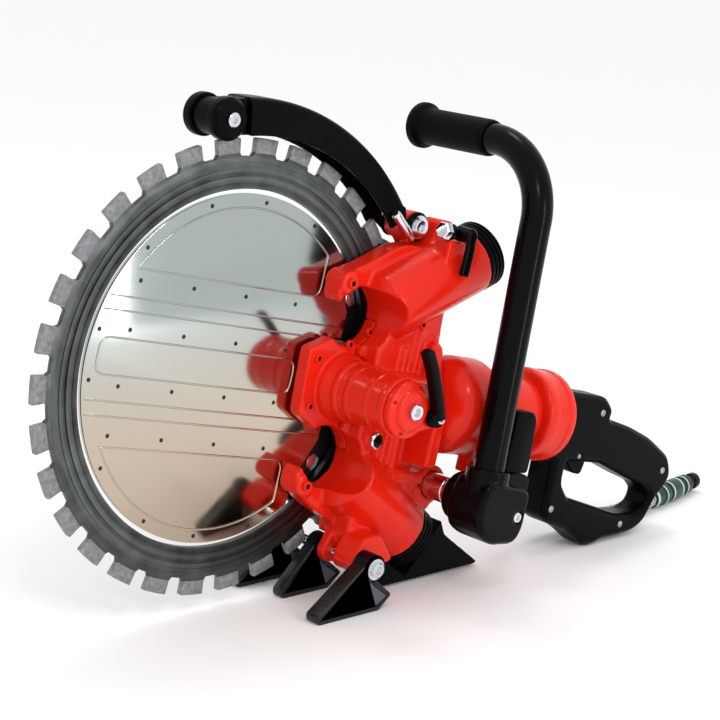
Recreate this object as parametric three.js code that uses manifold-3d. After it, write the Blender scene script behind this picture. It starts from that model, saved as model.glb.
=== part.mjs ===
// A hand-held ring saw of the kind that rescue crews use: a large ring blade driven at its inner edge, with an
// air motor behind it, a cranked front handle, a D-shaped rear handle and three feet under the blade.
//
// Saw frame, in millimetres: the ring blade's centre is the origin, +X runs back along the motor towards the
// rear handle, the ring turns about Y, and -Y is the operator's left, where the gear boss and front handle are.
// The whole saw is then turned nose-up by the pitch at which it stands on its feet and its rear handle.

import * as THREE from "three";
import { mergeVertices } from "three/addons/utils/BufferGeometryUtils.js";
import Module from "manifold-3d";

const wasm = await Module();
wasm.setup();

// ---------------------------------------------------------------------------------------------------------
// Driving dimensions
// ---------------------------------------------------------------------------------------------------------

const gap = 0.3; // between two touching pieces
const running = 0.4; // round a piece that turns inside another

// Ring blade
const ringRadius = 175;
const ringInnerRadius = 137.4;
const ringThickness = 4.5;
const segmentCount = 30;
const segmentArc = 7; // degrees of each cutting segment
const segmentThickness = 5.2; // room kept for segments that stand a little proud of the core
const gulletDepth = 13.5;
const grooveRadius = 148.5; // middle of the track that the guide rollers run in
const grooveWidth = 3;
const grooveDepth = 1;
const ridgePlay = 0.7; // side play of a roller's ridge in the groove

// Centre disc
const discEdgeGap = 3.4; // between the disc and the ring
const discThickness = 4;

// Ring slot between the two frames
const slotHalf = 5;

// Drive
const driveWheelRadius = 32;
const driveWheelFlange = 2.6; // how far its flanges overlap the ring
const driveShaftRadius = 8;
const bossRadius = 22.5;
const bossCollarRadius = 27;
const bossWall = 3.6;
const bossEndY = -88;
const bossCapThickness = 7;
const gearRatio = 2;
const pinionRadius = 7.5;

// Guide rollers: their axes point at the ring's centre
const rollerAngle = 29.5; // degrees above and below the X axis
const rollerRadius = 24;
const rollerHubRadius = 22;
const rollerWidth = 10;
const rollerAxleRadius = 6;
const rollerHousingWall = 3.2;
const upperHousingEnd = 236; // distance of each housing's end from the ring's centre
const lowerHousingEnd = 222;
const farHousingEnd = 192;
const capDepth = 21;
const capPlug = 8;

// Frame casting
const armThickness = 18;
const openingRadius = 24.6;
const opening = { x: 101.5, z: 56.2 };
const columnDepth = 32;

// Motor
const motorY = -45;
const flangeX = 168;
const flangeThickness = 12;
const flangeSize = 94;
const flangeNearReach = 21; // how far the flange reaches from the motor's axis towards the operator
const throatRadius = 20.5;
const bellRadius = 40;
const bellLength = 48;
const neckRadius = 31;
const neckLength = 56;
const canRadius = 39;
const canLength = 38;
const motorWall = 5;
const rotorRadius = 23;
const rotorShaftRadius = 6;

// Rear handle
const handleThickness = 30;
const triggerThickness = 11;
const bumpX = 410; // the heel that the saw rests on

// Front handle
const tubeRadius = 12.5;
const tubeBend = 61;
const handleTopZ = 216;
const handleX = 200;
const tubeTopY = -92;
const tubeLean = 12; // how much further out the tube's foot is
const gripRadius = 15;
const gripStartY = -28;
const gripEndY = 55;
const crossShaft = { x: 204, z: -67, radius: 11 };

// Guard
const guardOuterRadius = 199;
const guardRise = 7; // how much further out its front is
const guardSkin = 4;
const guardWidth = 31;
const guardWall = 3.5;
const guardDepth = 21;
const guardPivot = { x: 151, z: 134, radius: 12 };
const guardFront = { x: -64, z: 182 };
const guardBoltRadius = 4;
const knobRadius = 16;
const knobWaist = 9;
const knobHalfLength = 20;

// Feet and stance
const pitch = THREE.MathUtils.degToRad(11.3);
const soleFront = { x: 80, z: -176 };
const footPivot = { x: 127, z: -130, radius: 11 };
const footShaftRadius = 4;
const nearFootY = [-75, -61];
const midFootY = [-16.5, -5.4];
const farFootY = [21, 35];

// Hose and coupling
const hoseRadius = 7.5;
const couplingRadius = 10;

// Sizes that follow from those above
const driveX = ringInnerRadius - driveWheelRadius - running;
const rollerY = -(ringThickness / 2 - grooveDepth + gap + rollerRadius);
const housingBore = rollerRadius + 0.8;
const housingRadius = housingBore + rollerHousingWall;
const rollerStart = grooveRadius - rollerWidth / 2;
const bossInner = bossRadius - bossWall;
const bellX = flangeX + flangeThickness + gap;
const neckX = bellX + bellLength + gap;
const canX = neckX + neckLength + gap;
const handleStartX = canX + canLength + gap;
const handleMidY = motorY;

// Height of the floor under the standing saw, in the saw frame
const floorAt = (x) => soleFront.z + (x - soleFront.x) * Math.tan(pitch);

// ---------------------------------------------------------------------------------------------------------
// Shape helpers: each gives a manifold-3d solid in the saw frame
// ---------------------------------------------------------------------------------------------------------

const radians = THREE.MathUtils.degToRad;
const vector = (p) => new THREE.Vector3(...p);
const polar = (radius, degrees) => [radius * Math.cos(radians(degrees)), radius * Math.sin(radians(degrees))];

function solidOf(geometry) {
  const bare = geometry.index ? geometry.toNonIndexed() : geometry.clone();
  bare.deleteAttribute("normal");
  bare.deleteAttribute("uv");
  const merged = mergeVertices(bare, 1e-4);
  const positions = merged.attributes.position.array;
  const triangles = new Uint32Array(merged.index.array);
  if (signedVolume(positions, triangles) < 0) {
    for (let i = 0; i < triangles.length; i += 3) {
      [triangles[i + 1], triangles[i + 2]] = [triangles[i + 2], triangles[i + 1]];
    }
  }
  return new wasm.Manifold(new wasm.Mesh({ numProp: 3, vertProperties: positions, triVerts: triangles }));
}

function signedVolume(positions, triangles) {
  const corner = (i) => new THREE.Vector3().fromArray(positions, triangles[i] * 3);
  let volume = 0;
  for (let i = 0; i < triangles.length; i += 3) {
    volume += corner(i).dot(corner(i + 1).cross(corner(i + 2))) / 6;
  }
  return volume;
}

function geometryOf(solid) {
  const { vertProperties, triVerts } = solid.getMesh();
  const geometry = new THREE.BufferGeometry();
  geometry.setAttribute("position", new THREE.BufferAttribute(vertProperties, 3));
  geometry.setIndex(new THREE.BufferAttribute(triVerts, 1));
  geometry.computeVertexNormals();
  return geometry;
}

const join = (first, ...others) => others.reduce((solid, other) => solid.add(other), first);
const cut = (solid, ...tools) => tools.reduce((left, tool) => left.subtract(tool), solid);

// A shape from corner points, with every corner rounded by up to the given radius.
function outline(points, radius = 0) {
  const shape = new THREE.Shape();
  const corners = points.map(([x, y]) => new THREE.Vector2(x, y));
  corners.forEach((corner, i) => {
    const before = corners[(i + corners.length - 1) % corners.length];
    const after = corners[(i + 1) % corners.length];
    const reach = Math.min(radius, before.distanceTo(corner) / 2.2, after.distanceTo(corner) / 2.2);
    const start = corner.clone().add(before.clone().sub(corner).setLength(reach));
    const end = corner.clone().add(after.clone().sub(corner).setLength(reach));
    const draw = i ? "lineTo" : "moveTo";
    if (reach > 0) {
      shape[draw](start.x, start.y);
      shape.quadraticCurveTo(corner.x, corner.y, end.x, end.y);
    } else {
      shape[draw](corner.x, corner.y);
    }
  });
  shape.closePath();
  return shape;
}

const sideView = new THREE.Matrix4().makeBasis(vector([1, 0, 0]), vector([0, 0, 1]), vector([0, -1, 0]));
const rearView = new THREE.Matrix4().makeBasis(vector([0, 1, 0]), vector([0, 0, 1]), vector([1, 0, 0]));

// A shape drawn in X and Z, as thick as the two Y values say, with edges chamfered by bevel.
function plate(shape, [y0, y1], { bevel = 0, curveSegments = 2 } = {}) {
  const depth = y1 - y0 - 2 * bevel;
  const settings = { depth, curveSegments, bevelEnabled: bevel > 0, bevelSegments: 1 };
  Object.assign(settings, { bevelSize: bevel, bevelThickness: bevel, bevelOffset: -bevel });
  const geometry = new THREE.ExtrudeGeometry(shape, settings);
  return solidOf(geometry.applyMatrix4(sideView).translate(0, y1 - bevel, 0));
}

// A shape drawn in Y and Z, as long as the two X values say.
function bar(shape, [x0, x1], curveSegments = 2) {
  const geometry = new THREE.ExtrudeGeometry(shape, { depth: x1 - x0, curveSegments, bevelEnabled: false });
  return solidOf(geometry.applyMatrix4(rearView).translate(x0, 0, 0));
}

function block([x0, x1], [y0, y1], [z0, z1]) {
  const geometry = new THREE.BoxGeometry(x1 - x0, y1 - y0, z1 - z0);
  return solidOf(geometry.translate((x0 + x1) / 2, (y0 + y1) / 2, (z0 + z1) / 2));
}

// A round solid: its profile is a list of [distance along the axis, radius].
function turned(profile, { at = [0, 0, 0], along = [0, 1, 0], sides = 20, bore = 0 } = {}) {
  const points = profile.map(([distance, radius]) => new THREE.Vector2(radius, distance));
  const first = profile[0][0];
  const last = profile[profile.length - 1][0];
  if (bore > 0) {
    points.push(new THREE.Vector2(bore, last), new THREE.Vector2(bore, first), points[0].clone());
  } else {
    points.unshift(new THREE.Vector2(0, first));
    points.push(new THREE.Vector2(0, last));
  }
  const geometry = new THREE.LatheGeometry(points, sides);
  const turn = new THREE.Quaternion().setFromUnitVectors(vector([0, 1, 0]), vector(along).normalize());
  return solidOf(geometry.applyQuaternion(turn).translate(...at));
}

const rod = (radius, from, to, sides = 20) => {
  const along = vector(to).sub(vector(from));
  return turned([[0, radius], [along.length(), radius]], { at: from, along: along.toArray(), sides });
};

const crossRod = (radius, x, z, [y0, y1], sides = 20) => rod(radius, [x, y0, z], [x, y1, z], sides);

function swept(shape, points, steps, tension = 0.5) {
  const path = new THREE.CatmullRomCurve3(points.map(vector), false, "catmullrom", tension);
  return solidOf(new THREE.ExtrudeGeometry(shape, { steps, extrudePath: path, curveSegments: 2 }));
}

function roundSection(radius, sides) {
  const corners = Array.from({ length: sides }, (_, i) => polar(radius, (360 * i) / sides));
  return outline(corners);
}

// ---------------------------------------------------------------------------------------------------------
// The scene: materials, groups and a function that names each piece
// ---------------------------------------------------------------------------------------------------------

const finish = (color, roughness, metalness = 0) => new THREE.MeshStandardMaterial({ color, roughness, metalness });
const materials = {
  redPaint: finish(0xe8361f, 0.28),
  blackPaint: finish(0x0d0e10, 0.35),
  blackRubber: finish(0x141416, 0.7),
  blackPlastic: finish(0x111113, 0.45),
  bladeSteel: finish(0x77797a, 0.45, 0.9),
  discSteel: finish(0xb9b7c2, 0.15, 0.95),
  steel: finish(0xa7a9ab, 0.3, 0.95),
  chrome: finish(0xdfe2e5, 0.08, 1),
  footGrey: finish(0x3b3d45, 0.55, 0.3),
  labelGreen: finish(0x9cc89a, 0.5),
  braid: finish(0x9da39f, 0.45, 0.6),
  couplingGreen: finish(0x2f4a3c, 0.4, 0.4),
};

const part = new THREE.Group();
const saw = new THREE.Group(); // in the saw frame
const ground = new THREE.Group(); // the hose: X from the ring's centre, Z up from the floor
part.add(saw, ground);

function piece(name, solid, material, group = saw) {
  const mesh = new THREE.Mesh(geometryOf(solid.simplify(0.06)), material);
  mesh.name = name;
  group.add(mesh);
  return mesh;
}

// ---------------------------------------------------------------------------------------------------------
// Ring blade and centre disc
// ---------------------------------------------------------------------------------------------------------

const circleSteps = 60;
const circle = (radius, steps = circleSteps) => roundSection(radius, steps);

function annulus(inner, outer, [y0, y1], steps = 48) {
  const shape = circle(outer, steps);
  shape.holes.push(circle(inner, steps));
  return plate(shape, [y0, y1]);
}

function ringBlade() {
  const pitchAngle = 360 / segmentCount;
  const gullet = ringRadius - gulletDepth;
  const points = [];
  for (let i = 0; i < segmentCount; i += 1) {
    const middle = 57.8 + i * pitchAngle;
    const half = segmentArc / 2;
    points.push(polar(gullet, middle - half - 1), polar(ringRadius, middle - half));
    points.push(polar(ringRadius, middle + half), polar(gullet, middle + half + 1));
  }
  const body = outline(points);
  body.holes.push(circle(ringInnerRadius));
  const half = ringThickness / 2;
  const inner = grooveRadius - grooveWidth / 2;
  const outer = grooveRadius + grooveWidth / 2;
  return cut(
    plate(body, [-half, half]),
    annulus(inner, outer, [half - grooveDepth, half + 1]),
    annulus(inner, outer, [-half - 1, grooveDepth - half]),
  );
}

function centreDisc() {
  const radius = ringInnerRadius - discEdgeGap;
  const disc = plate(circle(radius), [-discThickness / 2, discThickness / 2]);
  const reach = ringRadius;
  const trim = [[radius * 0.62, reach], [93, 82], [108, 57], [108, -46], [90, -80], [radius * 0.62, -reach]];
  const cover = outline([...trim, [reach, -reach], [reach, reach]]);
  const wheelSpace = crossRod(driveWheelRadius + driveWheelFlange + 1.5, driveX, 0, [-discThickness, discThickness]);
  return cut(disc, plate(cover, [-discThickness, discThickness]), wheelSpace);
}

piece("ring_blade", ringBlade(), materials.bladeSteel);
piece("centre_disc", centreDisc(), materials.discSteel);

// ---------------------------------------------------------------------------------------------------------
// Guide rollers, two on each side, in housings whose axes point at the ring's centre
// ---------------------------------------------------------------------------------------------------------

const radial = (degrees) => {
  const [x, z] = polar(1, degrees);
  return [x, 0, z];
};

// A round solid on a roller housing's axis: distances are measured from the ring's centre.
function onRollerAxis(profile, side, degrees, { bore = 0, sides = 20 } = {}) {
  return turned(profile, { at: [0, side * rollerY, 0], along: radial(degrees), sides, bore });
}

function guideRoller(side, degrees) {
  const ridge = grooveWidth / 2 - ridgePlay;
  const end = rollerStart + rollerWidth;
  const profile = [
    [rollerStart, rollerHubRadius],
    [grooveRadius - ridge, rollerHubRadius],
    [grooveRadius - ridge, rollerRadius],
    [grooveRadius + ridge, rollerRadius],
    [grooveRadius + ridge, rollerHubRadius],
    [end, rollerHubRadius],
  ];
  return onRollerAxis(profile, side, degrees, { bore: rollerAxleRadius + running });
}

function rollerAxle(side, degrees, end) {
  const profile = [[rollerStart + 0.5, rollerAxleRadius], [end, rollerAxleRadius]];
  return onRollerAxis(profile, side, degrees, { sides: 16 });
}

const cartridgeStart = rollerStart + rollerWidth + 1.5;
const cartridgeEnd = ringRadius + 15;

function rollerCartridge(degrees) {
  const wide = housingBore - gap;
  const besideRing = -rollerY - segmentThickness / 2 - gap;
  const step = ringRadius + 2;
  const profile = [[cartridgeStart, besideRing], [step, besideRing], [step, wide], [cartridgeEnd, wide]];
  return onRollerAxis(profile, 1, degrees, { bore: rollerAxleRadius + gap });
}

function tensionSpring(degrees, housingEnd) {
  const wire = 1.6;
  const coil = housingBore - gap - wire * 2.4;
  const start = cartridgeEnd + wire + gap;
  const end = housingEnd - capPlug - wire - gap;
  const turns = 4;
  const stepsPerTurn = 9;
  const along = vector(radial(degrees));
  const points = [];
  for (let i = 0; i <= turns * stepsPerTurn; i += 1) {
    const angle = (360 * i) / stepsPerTurn;
    const [across, up] = polar(coil, angle);
    const place = along.clone().multiplyScalar(start + ((end - start) * i) / (turns * stepsPerTurn));
    place.add(vector([0, across, 0])).add(vector([-along.z, 0, along.x]).multiplyScalar(up));
    points.push(place.add(vector([0, rollerY, 0])).toArray());
  }
  return swept(roundSection(wire, 4), points, turns * stepsPerTurn);
}

function housingCap(degrees, housingEnd) {
  const plug = housingBore - gap;
  const start = housingEnd + gap;
  const profile = [
    [housingEnd - capPlug, plug],
    [start, plug],
    [start, housingRadius],
    [start + capDepth - 7, housingRadius],
    [start + capDepth, housingRadius - 8],
  ];
  return onRollerAxis(profile, 1, degrees);
}

for (const [name, degrees, end] of [
  ["upper", rollerAngle, upperHousingEnd],
  ["lower", -rollerAngle, lowerHousingEnd],
]) {
  piece(`near_${name}_roller`, guideRoller(1, degrees), materials.steel);
  piece(`far_${name}_roller`, guideRoller(-1, degrees), materials.steel);
  piece(`near_${name}_axle`, rollerAxle(1, degrees, cartridgeEnd), materials.steel);
  piece(`far_${name}_axle`, rollerAxle(-1, degrees, farHousingEnd), materials.steel);
  piece(`${name}_roller_cartridge`, rollerCartridge(degrees), materials.steel);
  piece(`${name}_tension_spring`, tensionSpring(degrees, end), materials.steel);
  piece(`${name}_housing_cap`, housingCap(degrees, end), materials.blackPlastic);
}

// ---------------------------------------------------------------------------------------------------------
// Drive: wheel on the ring's inner edge, shaft, bearings, bevel gears, rotor
// ---------------------------------------------------------------------------------------------------------

function driveWheel() {
  const flange = driveWheelRadius + driveWheelFlange;
  const tread = ringThickness / 2 + 0.7;
  const profile = [
    [-tread - 1, flange],
    [-tread, flange],
    [-tread, driveWheelRadius],
    [tread, driveWheelRadius],
    [tread, flange],
    [tread + 1, flange],
  ];
  return turned(profile, { at: [driveX, 0, 0], sides: 36, bore: driveShaftRadius + gap });
}

const bearingWidth = 9;
const innerBearingY = -slotHalf - 3 - bearingWidth;
const outerBearingY = bossEndY + 2;
const gearRadius = pinionRadius * gearRatio;

function shaftBearing(y) {
  const radius = bossInner - gap;
  const profile = [[0, radius], [bearingWidth, radius]];
  return turned(profile, { at: [driveX, y, 0], bore: driveShaftRadius + gap });
}

// The bevel gears are blanks: their pitch cones meet along one line, with a running gap between them.
function bevelGear() {
  const back = 7;
  const profile = [[0, gearRadius * 0.62], [gearRadius * 0.19, gearRadius], [back, gearRadius], [back, gearRadius - 3]];
  const faceY = motorY + pinionRadius * 0.62 + 0.8;
  return turned(profile, { at: [driveX, faceY, 0], bore: driveShaftRadius + gap, sides: 24 });
}

function bevelPinion() {
  const faceX = driveX + driveShaftRadius + 1.2;
  const tip = (faceX - driveX) / gearRatio;
  const profile = [[0, tip - 0.6], [gearRadius + 0.2 - (faceX - driveX), pinionRadius - 0.5], [18, pinionRadius - 0.5]];
  return turned(profile, { at: [faceX, motorY, 0], along: [1, 0, 0], bore: 3, sides: 20 });
}

function motorRotor() {
  const start = bellX + 16;
  const shaft = turned([[driveX + 30, rotorShaftRadius], [start + 1, rotorShaftRadius]], { at: [0, motorY, 0], along: [1, 0, 0], sides: 16 });
  const nose = turned([[driveX + 12, 2.7], [driveX + 31, 2.7]], { at: [0, motorY, 0], along: [1, 0, 0], sides: 12 });
  const drum = turned([[start, rotorRadius], [canX - 6, rotorRadius]], { at: [0, motorY, 0], along: [1, 0, 0] });
  return join(nose, shaft, drum);
}

piece("drive_wheel", driveWheel(), materials.steel);
piece("drive_shaft", crossRod(driveShaftRadius, driveX, 0, [bossEndY + 1, slotHalf + 4]), materials.steel);
piece("inner_shaft_bearing", shaftBearing(innerBearingY), materials.steel);
piece("outer_shaft_bearing", shaftBearing(outerBearingY), materials.steel);
piece("bevel_gear", bevelGear(), materials.steel);
piece("bevel_pinion", bevelPinion(), materials.steel);
piece("motor_rotor", motorRotor(), materials.steel);

// ---------------------------------------------------------------------------------------------------------
// Gear housing: the six-sided plate and the boss along the drive shaft
// ---------------------------------------------------------------------------------------------------------

// The outside of the gear housing, grown by a clearance where another piece makes room for it.
function gearHousingBody(grow = 0) {
  const half = 29 + grow;
  const front = 64 - grow;
  const corners = [[front, half - 3], [front + 5, half], [126, 56 + grow], [130 + grow, 52], [130 + grow, -46]];
  const plateShape = outline([...corners, [124, -52 - grow], [92, -38 - grow], [front + 3, -25 - grow]], 4);
  const boss = [
    [bossEndY - grow, bossRadius + grow],
    [-32, bossRadius + 1 + grow],
    [-22, bossCollarRadius + grow],
    [-slotHalf, bossCollarRadius + grow],
  ];
  return join(plate(plateShape, [-17 - grow, -slotHalf]), turned(boss, { at: [driveX, 0, 0], sides: 32 }));
}

function gearHousing() {
  const bore = crossRod(bossInner, driveX, 0, [bossEndY - 1, -slotHalf - 2.5], 32);
  const shaftHole = crossRod(driveShaftRadius + 1.5, driveX, 0, [-slotHalf - 4, 0]);
  const pinionHole = rod(11, [driveX, motorY, 0], [driveX + 60, motorY, 0]);
  const window = plate(outline(openingCircle(1)), [-60, 0]);
  const lowerWindow = plate(outline(openingCircle(-1)), [-60, 0]);
  return cut(gearHousingBody(), bore, shaftHole, pinionHole, window, lowerWindow);
}

function openingCircle(side, radius = openingRadius) {
  return Array.from({ length: 24 }, (_, i) => {
    const [x, z] = polar(radius, i * 15);
    return [opening.x + x, side * opening.z + z];
  });
}

const leverHub = { x: driveX + 24, y: bossEndY - 11, z: -3, radius: 8 };

function bossCap() {
  const y = bossEndY - gap;
  const profile = [[-bossCapThickness, 17], [1.6 - bossCapThickness, bossRadius], [0, bossRadius]];
  const raised = [[-bossCapThickness - 3, 14], [-bossCapThickness - 2, 16], [-bossCapThickness, 16]];
  const ear = outline([[driveX + 10, 13], [leverHub.x + 7, 6], [leverHub.x + 8, -10], [driveX + 10, -17]], 7);
  const arm = plate(ear, [y - bossCapThickness, y]);
  const at = [driveX, y, 0];
  const cap = join(turned(profile, { at, sides: 28 }), turned(raised, { at }), arm);
  return cut(cap, crossRod(3.3, driveX, 0, [y - 20, y + 1], 16), crossRod(3.3, leverHub.x, leverHub.z, [y - 20, y + 1], 16));
}

function bossScrew() {
  const y = bossEndY - bossCapThickness - 3 - 2 * gap;
  const screw = turned([[-4, 5], [-3.4, 6], [0, 6]], { at: [driveX, y, 0], sides: 20 });
  const shank = crossRod(3, driveX, 0, [y - 1, bossEndY + 0.6], 12);
  const socket = crossRod(2.6, driveX, 0, [y - 5, y - 1.5], 6);
  return cut(join(screw, shank), socket);
}

// The lever that clamps the drive in place, pivoting on the cap's ear.
function driveLever() {
  const y = leverHub.y;
  const hub = turned([[-6, 4], [-4, leverHub.radius - 1], [0, leverHub.radius], [3, leverHub.radius]], {
    at: [leverHub.x, y, leverHub.z],
    sides: 20,
  });
  const section = outline([[-5.5, -4], [5.5, -4], [5.5, 4], [-5.5, 4]], 2.5);
  const route = [[0, 0], [-5.5, 12], [-12.5, 25], [-20, 38], [-29, 50]];
  const arm = swept(section, route.map(([x, z]) => [leverHub.x + x, y - 3.6, leverHub.z + z]), 7);
  const pin = crossRod(2.9, leverHub.x, leverHub.z, [y, bossEndY - 2], 12);
  return join(hub, arm, pin);
}

piece("gear_housing", gearHousing(), materials.redPaint);
piece("boss_cap", bossCap(), materials.redPaint);
piece("boss_screw", bossScrew(), materials.chrome);
piece("drive_lever", driveLever(), materials.blackPaint);

// ---------------------------------------------------------------------------------------------------------
// Main frame: the painted casting that carries everything on the operator's side
// ---------------------------------------------------------------------------------------------------------

const nearFace = -slotHalf;
const clampPad = { x: 158, y: -42, z: 136.5 }; // front end of the barrel, on its axis
const clampRadius = 6.5;

function armPlate() {
  const upper = [[74, 70], [74, 84], [84, 92], [97, 98], [124, 114], [137, 119], [150, 119], [166, 130], [166, 144]];
  upper.push([184, 144], [184, 110]);
  const lower = [[186, -96], [160, -118], [138, -116], [123, -108], [97, -97], [84, -89], [73, -82], [73, -70]];
  const shape = outline([...upper, [180, 76], [184, 40], [184, -44], [182, -66], ...lower, [112, -38], [112, 38]], 5);
  return plate(shape, [nearFace - armThickness, nearFace], { bevel: 0 });
}

function rollerHousing(degrees, end) {
  const profile = [[131, 19], [138, housingRadius], [end, housingRadius]];
  return onRollerAxis(profile, 1, degrees, { sides: 24 });
}

function armTip(z) {
  const front = nearFace - armThickness;
  return crossRod(9.5, 83, z, [front - 3, nearFace], 20);
}

function motorBody() {
  const corner = flangeSize / 2;
  const near = -flangeNearReach;
  const square = [[near, -corner - 3], [corner - 4, -corner - 3], [corner - 4, corner], [near, corner]];
  const flange = outline(square.map(([y, z]) => [motorY + y, z]), 6);
  const throat = turned([[driveX + 22, throatRadius], [flangeX + 1, throatRadius]], {
    at: [0, motorY, 0],
    along: [1, 0, 0],
    sides: 24,
  });
  return join(bar(flange, [flangeX, flangeX + flangeThickness]), throat);
}

const lowerNearY = -42;
const lowerOutline = [
  [122, -54], [202, -59], [216, -66], [217, -76], [207, -92], [184, -119], [160, -133], [137, -132], [124, -116],
];

// The same corners moved away from the middle of the outline by a clearance.
function pushedOut(points, clearance) {
  const middle = points.reduce(([a, b], [x, z]) => [a + x / points.length, b + z / points.length], [0, 0]);
  return points.map(([x, z]) => {
    const away = new THREE.Vector2(x - middle[0], z - middle[1]);
    away.setLength(away.length() + 1.5 * clearance);
    return [middle[0] + away.x, middle[1] + away.y];
  });
}

function lowerBody() {
  const body = plate(outline(lowerOutline, 7), [lowerNearY, nearFace], { bevel: 3 });
  const shaftBoss = crossRod(crossShaft.radius + 5, crossShaft.x, crossShaft.z, [lowerNearY - 8, nearFace - 4]);
  return join(body, shaftBoss);
}

function footLug([y0, y1]) {
  const { x, z, radius } = footPivot;
  const web = outline([[x - radius + 1, z], [x + 4, z - radius + 1], [x + 34, z + 4], [x + 14, z + 24], [x - 2, z + 20]], 3);
  return join(crossRod(radius - 1.5, x, z, [y0, y1]), plate(web, [y0, y1]));
}

function guardLug() {
  const { x, z, radius } = guardPivot;
  const half = guardWidth / 2 - guardWall - gap;
  const web = outline([[x - 11, z + 2], [x - 9, z - 9], [x + 1, z - 20], [x + 26, z - 26], [x + 25, z - 6], [x + 6, z + 10]]);
  return join(crossRod(radius, x, z, [-half, half]), plate(web, [-half, slotHalf - gap]));
}

function mainFrame() {
  const column = outline([[116, 62], [150, 84], [180, 84], [184, 40], [184, -44], [182, -70], [150, -84], [116, -56]], 6);
  const padTop = clampPad.z - clampRadius - gap;
  const pad = block([clampPad.x, clampPad.x + 20], [clampPad.y - 5, clampPad.y + 12], [padTop - 30, padTop]);
  const body = join(
    armPlate(),
    armTip(82),
    armTip(-79),
    plate(column, [nearFace - columnDepth, nearFace], { bevel: 2 }),
    rollerHousing(rollerAngle, upperHousingEnd),
    rollerHousing(-rollerAngle, lowerHousingEnd),
    motorBody(),
    lowerBody(),
    pad,
  );
  const ringSide = block([0, 320], [nearFace, 60], [-260, 260]);
  const bores = [[rollerAngle, upperHousingEnd], [-rollerAngle, lowerHousingEnd]].map(([degrees, end]) =>
    onRollerAxis([[rollerStart - 0.8, housingBore], [end + 1, housingBore]], 1, degrees),
  );
  const guardSpace = crossRod(guardPivot.radius + 2.5, guardPivot.x, guardPivot.z, [-25, -guardWidth / 2 + guardWall + 0.2]);
  const bladeSide = plate(roundRegion(guardOuterRadius - guardDepth - 2), [-70, -guardWidth / 2 + guardWall]);
  const footSpace = join(
    crossRod(footPivot.radius + 1, footPivot.x, footPivot.z, [midFootY[0] - gap, 0]),
    plate(outline([[footPivot.x + 4, -119], [footPivot.x + 36, -119], [170, -160], [90, -160]]), [midFootY[0] - gap, 0]),
  );
  const lugs = [footLug([-60, lowerNearY + 6]), footLug([-26, midFootY[0] - 0.6]), guardLug()];
  return cut(
    join(cut(body, ringSide, bladeSide, footSpace), ...lugs),
    ...bores,
    rod(bellRadius + 1.4, [bellX - gap, motorY, 0], [bellX + 80, motorY, 0], 24),
    onRollerAxis([[lowerHousingEnd, housingRadius + 1], [lowerHousingEnd + 60, housingRadius + 1]], 1, -rollerAngle),
    guardSpace,
    gearHousingBody(gap),
    plate(outline(openingCircle(1)), [-70, 0]),
    plate(outline(openingCircle(-1)), [-70, 0]),
    rod(12.5, [driveX, motorY, 0], [flangeX + flangeThickness + 1, motorY, 0]),
    crossRod(crossShaft.radius + gap, crossShaft.x, crossShaft.z, [-70, -22]),
    crossRod(footShaftRadius + gap, footPivot.x, footPivot.z, [-70, 0], 16),
    crossRod(guardBoltRadius + gap, guardPivot.x, guardPivot.z, [-30, 30], 16),
  );
}

// The region outside the given radius, in front of the guard's pivot.
function roundRegion(radius) {
  const inner = [];
  for (let degrees = 44; degrees <= 100; degrees += 4) inner.push(polar(radius, degrees));
  return outline([...inner, polar(radius + 60, 100), polar(radius + 60, 72), polar(radius + 60, 44)]);
}

piece("main_frame", mainFrame(), materials.redPaint);

// ---------------------------------------------------------------------------------------------------------
// Far frame: the black carrier on the other side of the ring
// ---------------------------------------------------------------------------------------------------------

function farFrame() {
  const farFace = slotHalf;
  const upper = [[86, 84], [98, 98], [124, 112], [146, 117], [172, 104], [186, 60]];
  const lower = upper.map(([x, z]) => [x, -z]).reverse();
  const carrier = plate(outline([...upper, ...lower, [84, -40], [84, 40]], 6), [farFace, farFace + 8]);
  const housings = [rollerAngle, -rollerAngle].map((degrees) => {
    const profile = [[128, 18], [136, housingRadius], [farHousingEnd, housingRadius], [farHousingEnd + 6, housingRadius - 6]];
    return onRollerAxis(profile, -1, degrees);
  });
  const bores = [rollerAngle, -rollerAngle].map((degrees) =>
    onRollerAxis([[rollerStart - 0.8, housingBore], [cartridgeStart, housingBore]], -1, degrees),
  );
  const holes = [rollerAngle, -rollerAngle].map((degrees) =>
    onRollerAxis([[rollerStart, rollerAxleRadius + gap], [farHousingEnd + 8, rollerAxleRadius + gap]], -1, degrees, {
      sides: 16,
    }),
  );
  const ringSide = block([0, 320], [-60, farFace], [-260, 260]);
  const bridge = block([ringRadius + 4.5, 186], [nearFace + gap, farFace + 4], [-58, 58]);
  const shaftHole = crossRod(driveShaftRadius + 0.8, driveX, 0, [0, 40]);
  return cut(join(carrier, ...housings), ringSide, ...bores, ...holes, shaftHole).add(bridge);
}

piece("far_frame", farFrame(), materials.blackPaint);

// ---------------------------------------------------------------------------------------------------------
// Housing clamp: nut, barrel and hand lever beside the upper cap
// ---------------------------------------------------------------------------------------------------------

const clampLeverPivot = { x: clampPad.x + 12.5, z: clampPad.z };

function clampBarrel() {
  const at = [clampPad.x, clampPad.y, clampPad.z];
  const profile = [[0, clampRadius - 1], [1, clampRadius], [4.5, clampRadius], [5.5, clampRadius - 1]];
  return turned(profile, { at, along: [1, 0, 0] });
}

function clampNut() {
  const at = [clampPad.x - gap, clampPad.y, clampPad.z];
  return turned([[-7, 6.5], [-6, 7.5], [-1, 7.5], [0, 6.5]], { at, along: [1, 0, 0], sides: 6 });
}

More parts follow.
